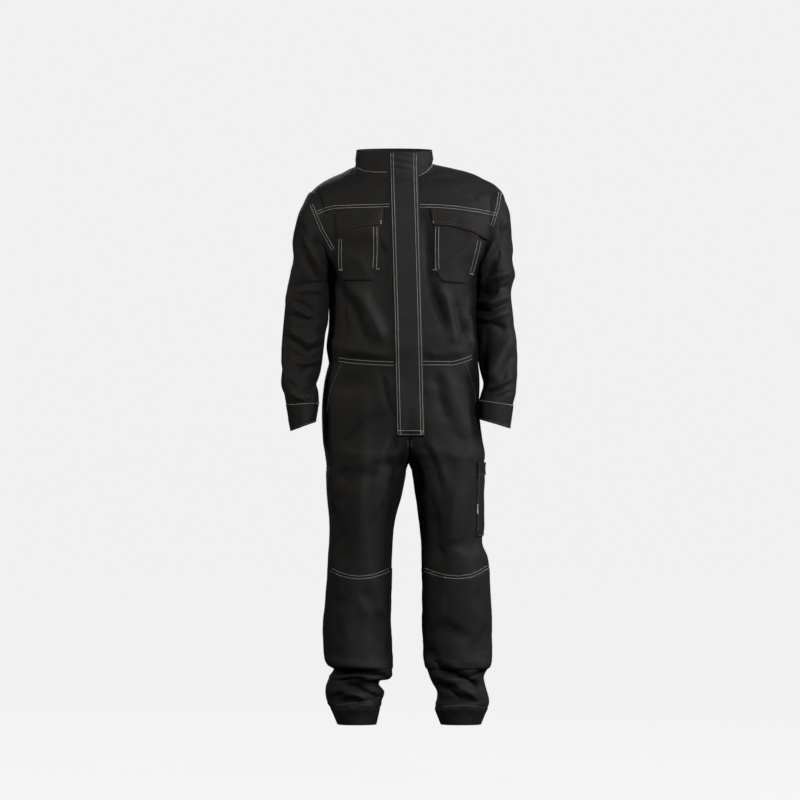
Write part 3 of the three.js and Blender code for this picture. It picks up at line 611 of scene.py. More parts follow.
cells = {  # columns round each tube and metres between its rows
    "trunk": (160, 0.0085), "leg": (88, 0.009), "sleeve": (64, 0.0085), "cuff": (128, 0.004),
}
holdFade = 0.03  # metres over which held cloth comes free
placketHold = (0.03, 0.06)  # distances from the placket's middle
# Small uneven forms of the cloth: height and width in metres, and the seed of their random numbers
rumples = {
    "soft": (0.0012, 0.055, 3), "ridged": (0.0004, 0.045, 7), "small": (0.00028, 0.016, 11),
    "pucker": (0.001, 0.009, 5), "cuff": (0.0008, 0.03, 9), "cuffFine": (0.0004, 0.01, 2),
    "layer": (0.0007, 0.03, 23), "layerPucker": (0.0005, 0.008, 21), "placket": (0.0006, 0.02, 31),
}
seam = {"lap": 0.009, "height": 0.0009, "groove": 0.0012, "grooveWidth": 0.0025, "pucker": 0.012}
hemHeight = 0.048


def rumple(kind, points):
    height, cell, seed = rumples[kind]
    return height * gridNoise(points, cell, seed)


def seamRelief(distance):
    # a lapped seam: raised on the side where distance is positive, with a groove at its edge
    lap = seam["lap"]
    raised = smooth(-0.001, 0.002, distance) * (1 - smooth(lap, lap + 0.003, distance))
    groove = np.exp(-((distance + 0.0015) / seam["grooveWidth"]) ** 2)
    return seam["height"] * raised - seam["groove"] * groove


def dress(name, grid, free, seams, strength):
    # folds, seams and small rumples on a tube, after the simulation and at full fineness
    grid = finer(grid)
    free = np.repeat(np.repeat(free, 2, axis=0)[:grid.shape[0]], 2, axis=1)
    free = blur(free, 2, 2)
    normal = normalsOf(blur(grid, 3, 3))
    height = foldHeight(grid, normal, name) * np.clip(free * 1.4, 0, 1)
    height += strength * rumple("soft", grid * np.array([1, 1, 0.6])) * free
    ridges = rumple("ridged", grid * np.array([0.8, 0.8, 1.3]))
    height += strength * (rumples["ridged"][0] - 2 * np.abs(ridges)) * free
    height += strength * rumple("small", grid)
    for distance in seams:
        d = distance(grid)
        height += seamRelief(d) + rumple("pucker", grid) * np.exp(-(d / seam["pucker"]) ** 2)
    return grid + normal * height[..., None], height


print("cloth: trunk")
base = tube(trunkRows, *cells["trunk"])
x, y, z = base[..., 0], base[..., 1], base[..., 2]
belowNeck = neckLine(x, y) - z
free = smooth(0.0, holdFade, belowNeck) * smooth(0.0, 0.02, z + size["bodyLength"])
free *= np.clip(smooth(*placketHold, np.abs(x - frontLine(z))) + (y > 0), 0, 1)
free *= 0.35 + 0.65 * smooth(0.02, 0.09, belowNeck)
grid = simulate("trunk", base, free, simulation["grow"])
seams = [
    lambda g: neckLine(g[..., 0], g[..., 1]) - g[..., 2],
    lambda g: np.where(g[..., 1] < 0, g[..., 2] - yokeLine(g[..., 0]), g[..., 2] + size["yokeDrop"]),
]
trunk, trunkHeight = dress("trunk", grid, free, seams, 0.85)

legs, legHeights = {}, {}
for name in sides:
    print("cloth:", name, "leg")
    base = tube(legRows[name], *cells["leg"])
    z = base[..., 2]
    atWaist = smooth(0.0, holdFade, -size["bodyLength"] - z)
    atHem = smooth(0.0, holdFade, z - hemZ)
    atCentre = smooth(0.0, holdFade, np.abs(base[..., 0] - size["centreSeam"]))
    free = atWaist * (0.25 + 0.75 * atHem) * np.where(z > crotchZ, atCentre, 1)
    around = base.shape[1]
    fromSeam = np.abs((np.arange(around) + around // 4) % (around // 2) - around // 4)
    sideSeams = np.minimum(fromSeam, 3) / 3
    free *= 0.3 + 0.7 * sideSeams[None, :]
    grid = simulate(name + " leg", base, free, simulation["grow"])
    seams = [lambda g: g[..., 2] - (hemZ + hemHeight)]
    legs[name], legHeights[name] = dress(name + " leg", grid, free, seams, 0.6)

sleeves, sleeveHeights, cuffs = {}, {}, {}
for name in sides:
    print("cloth:", name, "sleeve")
    rows, cuffEnds = sleeveRows[name]
    base = tube(rows, *cells["sleeve"])
    share = np.linspace(0, 1, len(base))[:, None] * np.ones((1, base.shape[1]))
    free = smooth(0.06, 0.16, share) * smooth(0.0, 0.04, 1 - share)
    grid = simulate(name + " sleeve", base, free, simulation["grow"] * simulation["sleeveGrow"])
    sleeves[name], sleeveHeights[name] = dress(name + " sleeve", grid, free, [], 1.2)
    cuff = tube(cuffEnds, *cells["cuff"])
    lift = 0.0012 + rumple("cuff", cuff) + rumple("cuffFine", cuff)
    cuffs[name] = cuff + normalsOf(cuff) * lift[..., None]

# Above the crotch the legs meet at the centre seam, so both take the middle of their surfaces there
centre = size["centreSeam"]
centreReach = 0.035
around = legs["right"].shape[1]
for half, firstColumn in (("front", 0), ("back", around // 2)):
    columns = (np.arange(around // 2 + 1) + firstColumn) % around
    crossing = {}
    for name, grid in legs.items():
        line = np.full(len(grid), np.nan)
        for r in range(len(grid)):
            ring = grid[r, columns]
            order = np.argsort(ring[:, 0])
            xs = ring[order, 0]
            if xs[0] < centre < xs[-1]:
                line[r] = np.interp(centre, xs, ring[order, 1])
        crossing[name] = (grid[:, :, 2].mean(axis=1), line)
    for name, other in (("right", "left"), ("left", "right")):
        grid = legs[name]
        zs, line = crossing[name]
        otherZ, otherLine = crossing[other]
        good = ~np.isnan(otherLine)
        theirs = np.interp(zs, otherZ[good][::-1], otherLine[good][::-1])
        shift = np.where(np.isnan(line), 0, (theirs - line) / 2)
        shift = blur(shift[:, None], 1.5, 0)[:, 0]
        near = np.exp(-((grid[..., 0] - centre) / centreReach) ** 2)
        sideMask = grid[..., 1] < 0 if half == "front" else grid[..., 1] >= 0
        grid[..., 1] += shift[:, None] * near * sideMask


# Meshes

def meshTree(tubes, patches=()):
    # one tree for finding places on several closed tubes and open patches
    points, quads, start = [], [], 0
    for grid, closed in [(g, True) for g in tubes] + [(g, False) for g in patches]:
        rows, columns = grid.shape[:2]
        index = np.arange(rows * columns).reshape(rows, columns) + start
        beside = np.roll(index, -1, axis=1)
        corners = np.stack([index[:-1], index[1:], beside[1:], beside[:-1]], axis=2)
        if not closed:
            corners = corners[:, :-1]
        quads.append(corners.reshape(-1, 4))
        points.append(grid.reshape(-1, 3))
        start += rows * columns
    return BVHTree.FromPolygons(np.concatenate(points).tolist(), np.concatenate(quads).tolist())


def depthInside(tree, points):
    # how far points lie inside a tube, below 0 outside it
    flat = points.reshape(-1, 3)
    depth = np.zeros(len(flat))
    for k, p in enumerate(flat):
        place, normal, _, _ = tree.find_nearest(p)
        depth[k] = (place - Vector(p)).dot(normal)
    return depth.reshape(points.shape[:-1])


wearHeight = 0.006  # height of a fold that is rubbed the most


def makeMesh(name, points, faces, uvs, normals, material, height=None):
    mesh = bpy.data.meshes.new(name)
    mesh.from_pydata(points.tolist(), [], faces)
    mesh.polygons.foreach_set("use_smooth", [True] * len(mesh.polygons))
    uvLayer = mesh.uv_layers.new(name="cloth")
    loops = np.zeros(len(mesh.loops), int)
    mesh.loops.foreach_get("vertex_index", loops)
    uvLayer.data.foreach_set("uv", uvs[loops].reshape(-1))
    if height is not None:
        attribute = mesh.attributes.new("wear", "FLOAT", "POINT")
        attribute.data.foreach_set("value", np.clip(height / wearHeight, -1, 1))
    mesh.materials.append(material)
    if normals is not None:
        mesh.normals_split_custom_set_from_vertices(normals.tolist())
    piece = bpy.data.objects.new(name, mesh)
    bpy.context.scene.collection.objects.link(piece)
    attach(piece, "root")
    return piece


def runFrom(grid, column):
    # distance round the tube from one column, below 0 on its left
    steps = np.linalg.norm(np.roll(grid, -1, axis=1) - grid, axis=2)
    run = np.concatenate([np.zeros((len(grid), 1)), np.cumsum(steps, axis=1)[:, :-1]], axis=1)
    run = run - run[:, column:column + 1]
    around = steps.sum(axis=1, keepdims=True)
    return (run + around / 2) % around - around / 2


def clothMesh(name, grid, keep, thickness, height, nodes):
    # a panel of a tube: the kept cells, with an inner side and an edge all round
    rows, around = grid.shape[:2]
    i, j = np.argwhere(keep).T
    k = (j + 1) % around
    outer = np.stack([i * around + j, (i + 1) * around + j, (i + 1) * around + k, i * around + k], axis=1)
    used = np.unique(outer)
    count = len(used)
    renumber = np.full(rows * around, -1)
    renumber[used] = np.arange(count)
    outer = renumber[outer]
    starts = outer.reshape(-1)
    ends = np.roll(outer, -1, axis=1).reshape(-1)
    rim = ~np.isin(starts * (2 * count) + ends, ends * (2 * count) + starts)
    a, b = starts[rim], ends[rim]
    edge = np.stack([b, a, a + count, b + count], axis=1)
    faces = np.concatenate([outer, outer[:, ::-1] + count, edge]).tolist()
    points = grid.reshape(-1, 3)[used]
    outward = normalsOf(grid).reshape(-1, 3)[used]
    isFront = np.arange(around)[None, :] <= around // 2
    run = np.where(isFront, runFrom(grid, around // 4), runFrom(grid, 3 * around // 4))
    down = np.broadcast_to(distances(grid)[:, None], run.shape)
    uv = np.stack([run, -down], axis=2).reshape(-1, 2)[used]
    piece = makeMesh(
        name, np.concatenate([points, points - outward * thickness]), faces, np.tile(uv, (2, 1)),
        np.concatenate([outward, -outward]), black, np.tile(height.reshape(-1)[used], 2))
    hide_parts(*nodes)
    return piece


# Materials

class Wire:
    # one socket of a shader, so that its maths reads as Python
    def __init__(self, graph, socket):
        self.graph = graph
        self.socket = socket

    def calculate(self, operation, *values):
        return self.graph.node("ShaderNodeMath", {"operation": operation}, *values)

    def __add__(self, other):
        return self.calculate("ADD", self, other)

    def __sub__(self, other):
        return self.calculate("SUBTRACT", self, other)

    def __mul__(self, other):
        return self.calculate("MULTIPLY", self, other)

    def sine(self):
        return self.calculate("SINE", self)

    def clip(self):
        return self.calculate("MINIMUM", self.calculate("MAXIMUM", self, 0.0), 1.0)

    def beside(self, output):
        # another output of the node that this one comes from
        return Wire(self.graph, self.socket.node.outputs[output])

    __radd__ = __add__
    __rmul__ = __mul__


class Graph:
    # the nodes of one material
    def __init__(self, name):
        self.material = bpy.data.materials.new(name)
        self.material.use_nodes = True
        self.tree = self.material.node_tree
        self.tree.nodes.clear()

    def plug(self, socket, value):
        if isinstance(value, Wire):
            self.tree.links.new(value.socket, socket)
        else:
            socket.default_value = value

    def node(self, kind, settings=None, *values, output=0, **named):
        # a node of any kind, its settings, then values or wires for its sockets
        item = self.tree.nodes.new(kind)
        for key, value in (settings or {}).items():
            setattr(item, key, value)
        for key, value in enumerate(values):
            self.plug(item.inputs[key], value)
        for key, value in named.items():
            self.plug(item.inputs[key.replace("_", " ")], value)
        return Wire(self, item.outputs[output]) if len(item.outputs) else item

    def noise(self, place, scale, detail, **named):
        return self.node("ShaderNodeTexNoise", None, Vector=place, Scale=scale, Detail=detail, **named)

    def mix(self, factor, a, b):
        # of two colours, which have the node's seventh and eighth sockets
        item = self.tree.nodes.new("ShaderNodeMix")
        item.data_type = "RGBA"
        for socket, value in ((0, factor), (6, a), (7, b)):
            self.plug(item.inputs[socket], value)
        return Wire(self, item.outputs[2])

    def bump(self, strength, height):
        return self.node("ShaderNodeBump", None, Strength=strength, Distance=1.0, Height=height)

    def surface(self, **named):
        shader = self.node("ShaderNodeBsdfPrincipled", None, **named)
        self.node("ShaderNodeOutputMaterial", None, shader)
        return self.material


twill = {
    "dark": (0.0088, 0.0082, 0.0078, 1),
    "light": (0.0186, 0.0175, 0.0166, 1),
    "worn": (0.026, 0.0245, 0.023, 1),
    "pitch": 0.0011,      # from one diagonal rib to the next
    "slant": 0.8,         # of the ribs
    "yarn": 0.62,         # width of a yarn, of the pitch
    "relief": 0.5,
    "roughness": 0.66,
    "shine": 0.2,
    "sheen": 0.02,
    "sheenTint": (0.86, 0.84, 0.8, 1),
}
# The placket's cloth is a lighter copy of the black twill. This is painted light, standing in for the extra
# light that the flat, front-facing placket catches.
placketLitTwill = {**twill, "dark": (0.0132, 0.0124, 0.012, 1), "light": (0.027, 0.0255, 0.0246, 1)}
threadLooks = {
    "pale": {"colour": (0.72, 0.71, 0.68, 1), "second": (0.5, 0.49, 0.47, 1)},
    "red": {"colour": (0.15, 0.032, 0.028, 1), "second": (0.08, 0.018, 0.016, 1)},
    "faint": {"colour": (0.2, 0.195, 0.185, 1), "second": (0.12, 0.117, 0.11, 1)},
}
tabLook = {"colour": (0.5, 0.5, 0.48, 1), "second": (0.3, 0.3, 0.29, 1)}


def twillMaterial(name, look):
    g = Graph(name)
    uv = g.node("ShaderNodeUVMap", {"uv_map": "cloth"})
    across = g.node("ShaderNodeSeparateXYZ", None, uv)
    down = across.beside(1)
    turn = 2 * math.pi / look["pitch"]
    ribs = ((across + down * look["slant"]) * turn).sine()
    yarns = ((down - across * 0.15) * (turn / look["yarn"])).sine()
    weave = ribs * 0.5 + yarns * 0.22 + 0.5
    place = g.node("ShaderNodeTexCoord", output=3)
    broad = g.noise(place, 7.0, 4.0, Roughness=0.6)
    fine = g.noise(place, 160.0, 3.0, Roughness=0.7)
    slub = g.noise(place, 1400.0, 1.0)
    wear = g.node("ShaderNodeAttribute", {"attribute_name": "wear"}, output=2)
    tone = (weave * 0.3 + broad * 0.9 + fine * 0.5 - 0.45).clip()
    cloth = g.mix(tone, look["dark"], look["light"])
    rubbed = ((wear - 0.35) * 0.9 + (fine - 0.5) * 0.8).clip() * 0.4
    colour = g.mix(rubbed, cloth, look["worn"])
    height = weave * 0.00022 + slub * 0.00012 + fine * 0.0004 + broad * 0.001
    rough = look["roughness"] + (fine - 0.5) * 0.16 - rubbed * 0.12
    return g.surface(
        Base_Color=colour, Roughness=rough, Normal=g.bump(look["relief"], height),
        Sheen_Weight=look["sheen"], Sheen_Roughness=0.45, Sheen_Tint=look["sheenTint"],
        Specular_IOR_Level=look["shine"])


def threadMaterial(name, look):
    g = Graph(name)
    place = g.node("ShaderNodeTexCoord", output=3)
    twist = g.node("ShaderNodeTexWave", {"bands_direction": "DIAGONAL"}, Vector=place, Scale=900.0, output=1)
    colour = g.mix((g.noise(place, 220.0, 2.0) * 1.6 - 0.3).clip(), look["second"], look["colour"])
    return g.surface(
        Base_Color=colour, Roughness=0.55, Normal=g.bump(0.3, twist * 0.0001),
        Sheen_Weight=0.3, Specular_IOR_Level=0.4)


def tabMaterial(name, look):
    g = Graph(name)
    place = g.node("ShaderNodeTexCoord", output=3)
    weave = g.node("ShaderNodeTexChecker", None, Vector=place, Scale=1500.0, output=1)
    colour = g.mix((g.noise(place, 60.0, 3.0) * 1.4 - 0.2).clip(), look["second"], look["colour"])
    return g.surface(Base_Color=colour, Roughness=0.5, Normal=g.bump(0.4, weave * 0.0002))


black = twillMaterial("black twill", twill)
# lighter copy of the twill for the placket, painted light
placketLitBlack = twillMaterial("placket lit twill", placketLitTwill)
threads = {name: threadMaterial(name + " thread", look) for name, look in threadLooks.items()}
tabCloth = tabMaterial("pale tab", tabLook)

# Panels

print("panels")
walls = {"panel": 0.0012, "collar": 0.003, "cuff": 0.003}
overlap = 0.005  # how far the trunk's cloth and the sleeves' reach into each other
armhole = {"out": 0.12, "top": -0.02, "bottom": -0.32, "sleeveBottom": -0.34}
trunkTree = meshTree([trunk])


def cellMiddles(grid):
    below = grid[1:]
    return (grid[:-1] + below + np.roll(grid, -1, axis=1)[:-1] + np.roll(below, -1, axis=1)) / 4


def frontHalf(grid):
    # which cells of a tube are at the front
    around = grid.shape[1]
    return np.broadcast_to(np.arange(around)[None, :] < around // 2, (len(grid) - 1, around))


middle = cellMiddles(trunk)
x, y, z = middle[..., 0], middle[..., 1], middle[..., 2]
inSleeve = np.zeros(z.shape, bool)
for name, side in sides.items():
    near = (side * x > armhole["out"]) & (z < armhole["top"]) & (z > armhole["bottom"])
    inSleeve[near] |= depthInside(meshTree([sleeves[name]]), middle[near]) > overlap
isFront = frontHalf(trunk)
aboveNeck = z > neckLine(x, y)
isRight = x < frontLine(z)
aboveYoke = np.where(isFront, z > yokeLine(x), z > -size["yokeDrop"])
body = ~inSleeve & ~aboveNeck
trunkPanels = {
    "front_yoke_right": body & isFront & aboveYoke & isRight,
    "front_yoke_left": body & isFront & aboveYoke & ~isRight,
    "front_right": body & isFront & ~aboveYoke & isRight,
    "front_left": body & isFront & ~aboveYoke & ~isRight,
    "back_yoke": body & ~isFront & aboveYoke,
    "back": body & ~isFront & ~aboveYoke,
}
for node, keep in trunkPanels.items():
    clothMesh("cloth_" + node, trunk, keep, walls["panel"], trunkHeight, [node])
clothMesh("cloth_collar", trunk, aboveNeck, walls["collar"], trunkHeight, ["collar"])

for name, side in sides.items():
    grid = legs[name].copy()
    inside = grid[..., 0] > centre if side < 0 else grid[..., 0] < centre
    grid[..., 0] = np.where(inside, centre, grid[..., 0])
    pairs = inside[:-1] & inside[1:]
    keep = ~(pairs & np.roll(pairs, -1, axis=1))
    front = frontHalf(grid)
    for half, mask in (("front", front), ("back", ~front)):
        nodes = [f"leg_{half}_{name}", f"shin_{half}_{name}"]
        clothMesh(f"cloth_leg_{half}_{name}", grid, keep & mask, walls["panel"], legHeights[name], nodes)
    sleeve = sleeves[name]
    middle = cellMiddles(sleeve)
    upper = middle[..., 2] > armhole["sleeveBottom"]
    depth = np.full(upper.shape, -1.0)
    depth[upper] = depthInside(trunkTree, middle[upper])
    clothMesh(
        "cloth_sleeve_" + name, sleeve, depth < overlap, walls["panel"], sleeveHeights[name],
        ["sleeve_" + name])
    cuff = cuffs[name]
    clothMesh(
        "cloth_cuff_" + name, cuff, np.ones((len(cuff) - 1, cuff.shape[1]), bool), walls["cuff"],
        np.zeros(cuff.shape[:2]), ["cuff_" + name])

# Second layers

bodyTree = meshTree([trunk, legs["right"], legs["left"]])
layers = []  # outer points of the layers, for the stitches on them
forward = Vector((0, 1, 0))
# lift and thickness of each layer in metres, and how stiff it is, in cells of its grid
builds = {
    "placket": (0.0006, 0.0032, 4), "pocket": (0.0006, 0.0024, 3), "flap": (0.0032, 0.0028, 3),
    "kneePocket": (0.0004, 0.0016, 1), "thighPocket": (0.0006, 0.003, 2),
    "thighFlap": (0.0036, 0.0028, 2), "tab": (0.0038, 0.0012, 0.5),
}
hem = {"thickness": 0.45, "bridge": 0.02, "wear": 0.004}  # of the layers' edges


def samplePath(path, count):
    path = np.array(path, float)
    run = distances(path)
    return pointsAt(np.linspace(0, run[-1], count), run, path)


def frontPatch(top, bottom, spacing):
    # grid of places on the front between a top and a bottom line given in the photo's pixels
    width = math.dist(top[0], top[-1]) * pixel
    height = max(math.dist(top[0], bottom[0]), math.dist(top[-1], bottom[-1])) * pixel
    columns = max(6, round(width / spacing))
    rows = max(4, round(height / spacing))
    upper, lower = samplePath(top, columns), samplePath(bottom, columns)
    grid = np.zeros((rows, columns, 3))
    for r in range(rows):
        t = r / (rows - 1)
        for c in range(columns):
            x, z = fromPhoto(*(upper[c] * (1 - t) + lower[c] * t))
            hit = bodyTree.ray_cast(Vector((x, -1, z)), forward)[0]
            if hit is None:
                hit = bodyTree.find_nearest(Vector((x, -0.1, z)))[0]
            grid[r, c] = hit
    return grid


def layer(name, grid, build, nodes, material=black, edge=0.004, relief=0):
    # a second layer of cloth over a grid of places: stiffer than the cloth under it, thinner at
    # its edges, closed behind
    lift, thickness, stiff = builds[build]
    normal = normalsOf(grid, closed=False)
    calm = blur(grid, stiff, stiff, closed=False)
    out = np.maximum(np.sum((calm - grid) * normal, axis=2), 0) * 0.9
    rows, columns = grid.shape[:2]
    down, across = distances(grid), distances(grid.swapaxes(0, 1))
    fromEdge = np.minimum(
        np.minimum(down, down[-1] - down)[:, None], np.minimum(across, across[-1] - across)[None, :])
    out *= smooth(0, hem["bridge"], fromEdge)
    full = hem["thickness"] + (1 - hem["thickness"]) * smooth(0, edge, fromEdge)
    uneven = rumple("layerPucker", grid) * np.exp(-(fromEdge / seam["pucker"]) ** 2) + rumple("layer", grid)
    outer = grid + normal * (lift + thickness * full + out + uneven + relief)[..., None]
    inner = grid + normal * (lift * 0.3)
    height = hem["wear"] * np.exp(-(fromEdge / hem["wear"]) ** 2)
    count = rows * columns
    index = np.arange(count).reshape(rows, columns)
    corners = [index[:-1, :-1], index[1:, :-1], index[1:, 1:], index[:-1, 1:]]
    front = np.stack(corners, axis=2).reshape(-1, 4)
    loop = np.concatenate([index[:, 0], index[-1, 1:], index[::-1, -1][1:], index[0, ::-1][1:]])
    start, end = loop[:-1], loop[1:]
    rim = np.stack([end, start, start + count, end + count], axis=1)
    faces = np.concatenate([front, front[:, ::-1] + count, rim]).tolist()
    points = np.concatenate([outer.reshape(-1, 3), inner.reshape(-1, 3)])
    uv = np.stack(np.meshgrid(across - across[-1] / 2, -down), axis=2).reshape(-1, 2)
    piece = makeMesh(
        name, points, faces, np.tile(uv, (2, 1)), None, material, np.tile(height.reshape(-1), 2))
    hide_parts(*nodes)
    layers.append(outer)
    return outer


print("second layers")
placket = {
    "top": [(389.7, 153.2), (417.6, 153.2)],
    "bottom": [(396.6, 436.2), (424.6, 436.2)],
    "creases": {"pitch": 0.0175, "slant": 0.2, "height": 0.002, "from": -0.04, "to": -0.015},
}
pocketSpacing = 0.0035
flapSpacing = 0.003
grid = frontPatch(placket["top"], placket["bottom"], pocketSpacing)
creases = placket["creases"]
wave = np.sin((grid[..., 2] + creases["slant"] * grid[..., 0]) * 2 * math.pi / creases["pitch"])
relief = creases["height"] * wave * smooth(creases["from"], creases["to"], grid[..., 2])
relief += rumple("placket", grid * np.array([0.4, 1, 1]))
# the placket takes the lighter copy of the twill, which paints in the light that it catches
layer("cloth_placket", grid, "placket", ["placket"], placketLitBlack, relief=relief)

# Top and bottom lines of each chest pocket and its flap, from the image's left to its right
chestPockets = {
    "right": {
        "pocket": [[(337, 215), (358, 212), (379, 210)],
                   [(336.5, 271), (344, 281.5), (372, 281.5), (379, 270)]],
        "flap": [[(336, 215), (358, 211.8), (383, 209.8)],
                 [(338, 238), (352, 231), (366, 227.5), (382, 226.5)]],
    },
    "left": {
        "pocket": [[(433.5, 210), (456, 212), (480, 215)],
                   [(433.5, 271), (442.5, 283), (465, 284.5), (474.5, 275)]],
        "flap": [[(429.5, 209.8), (458, 211.8), (488, 217)],
                 [(433, 226.5), (450, 227.5), (470, 232.5), (486.5, 241)]],
    },
}
for name, lines in chestPockets.items():
    for part, spacing in (("pocket", pocketSpacing), ("flap", flapSpacing)):
        node = f"chest_{part}_{name}"
        layer("cloth_" + node, frontPatch(*lines[part], spacing), part, [node])


def sideGrid(grid, columnsFrom, columnsTo, topZ, bottomZ, countAcross, countDown):
    # grid of places on a tube between two columns, and between two heights given for each column
    around = grid.shape[1]
    out = np.zeros((countDown, countAcross, 3))
    for c in range(countAcross):
        t = c / (countAcross - 1)
        column = columnsFrom + t * (columnsTo - columnsFrom)
        k, f = int(math.floor(column)), column - math.floor(column)
        line = grid[:, k % around] * (1 - f) + grid[:, (k + 1) % around] * f
        heights = np.linspace(topZ(t), bottomZ(t), countDown)
        out[:, c] = pointsAt(-heights, -line[:, 2], line)
    return out


def kneeTop(t):
    return -size["kneeSeamDrop"] - size["kneeArc"] * (1 - (2 * t - 1) ** 2)


def kneeBottom(t):
    return -size["kneeSeamDrop"] - size["kneePocketLength"]


kneePocket = {"from": 0.022, "to": 0.478}  # as shares of the way round the leg
for name, grid in legs.items():
    around = grid.shape[1]
    grid = sideGrid(
        grid, around * kneePocket["from"], around * kneePocket["to"], kneeTop, kneeBottom, 70, 78)
    layer("cloth_knee_pocket_" + name, grid, "kneePocket", ["knee_pocket_" + name])

thighPocket = {
    "girth": 0.62,          # of the leg, to turn widths into columns
    "flapWidth": 1.2,       # of the pocket's
    "tab": {"top": 0.084, "bottom": 0.058, "columns": 1.1, "forward": 0.4, "edge": 0.001},
}
leg = legs["left"]
middleColumn = leg.shape[1] * 0.5
half = size["cargoWidth"] / 2 * leg.shape[1] / thighPocket["girth"]
top = -size["cargoDrop"]
bottom = top - size["cargoLength"]


def flapTop(t):
    return top + size["cargoFlap"] / 2


def flapBottom(t):
    return top - size["cargoFlap"] * (0.5 + 0.15 * abs(2 * t - 1))


grid = sideGrid(leg, middleColumn - half, middleColumn + half, lambda t: top, lambda t: bottom, 40, 52)
thighBag = layer("cloth_thigh_pocket", grid, "thighPocket", ["thigh_pocket"])
flapHalf = half * thighPocket["flapWidth"]
grid = sideGrid(leg, middleColumn - flapHalf, middleColumn + flapHalf, flapTop, flapBottom, 42, 16)
thighFlap = layer("cloth_thigh_flap", grid, "thighFlap", ["thigh_flap"])
tab = thighPocket["tab"]
first = middleColumn - half - tab["forward"]
last = first + tab["columns"]
grid = sideGrid(leg, first, last, lambda t: bottom + tab["top"], lambda t: bottom + tab["bottom"], 6, 14)
layer("side_tab_cloth", grid, "tab", ["side_tab"], tabCloth, tab["edge"])

# Stitching

allTree = meshTree([trunk, *legs.values(), *sleeves.values(), *cuffs.values()], layers)
stitch = {
    "pitch": 0.0034, "gap": 0.0007, "radius": 0.00054, "sides": 5,
    # along the stitch, thickness and lift, as shares of its length and radius
    "profile": ((0.0, 0.45, -0.1), (0.5, 1.0, 0.75), (1.0, 0.45, -0.1)),
}
runs = {"pale": [], "red": [], "faint": []}


def frontRun(path, offsets=(0,), kind="pale"):
    # rows of stitches along a line seen from the front, in the photo's pixels
    length = sum(math.dist(path[k], path[k + 1]) for k in range(len(path) - 1))
    dense = samplePath(path, max(3, int(length)))
    direction = np.gradient(dense, axis=0)
    direction /= np.linalg.norm(direction, axis=1, keepdims=True) + 1e-9
    aside = np.stack([-direction[:, 1], direction[:, 0]], axis=1)
    for offset in offsets:
        points, normals = [], []
        for x, z in (fromPhoto(*place) for place in dense + aside * offset):
            hit, normal, _, _ = allTree.ray_cast(Vector((x, -1, z)), forward)
            if hit is not None:
                points.append(hit[:])
                normals.append((normal if normal.y < 0 else -normal)[:])
        curveRun(points, normals, kind)


def curveRun(points, normals, kind="pale"):
    if len(points) > 1:
        runs[kind].append((np.array(points), np.array(normals)))


def ringRun(grid, height, columns, kind="pale"):
    # a row of stitches round a tube at one height
    normal = normalsOf(grid)
    points, normals = [], []
    for c in columns:
        line, outward = grid[:, c % grid.shape[1]], normal[:, c % grid.shape[1]]
        points.append(pointsAt(-height, -line[:, 2], line))
        normals.append(pointsAt(-height, -line[:, 2], outward))
    curveRun(points, normals, kind)


def columnRun(grid, column, topZ, bottomZ, shift):
    # a faint row of stitches down a tube along one column, moved round it by a distance
    normal = normalsOf(grid)
    around = grid.shape[1]
    width = np.linalg.norm(grid[:, (column + 1) % around] - grid[:, column % around], axis=1)
    step = shift / np.maximum(width, 1e-4)
    points, normals = [], []
    for r in range(len(grid)):
        c = column + step[r]
        k, f = int(math.floor(c)), c - math.floor(c)
        p = grid[r, k % around] * (1 - f) + grid[r, (k + 1) % around] * f
        if bottomZ <= p[2] <= topZ:
            points.append(p)
            normals.append(normal[r, k % around])
    curveRun(points, normals, "faint")


print("stitching")
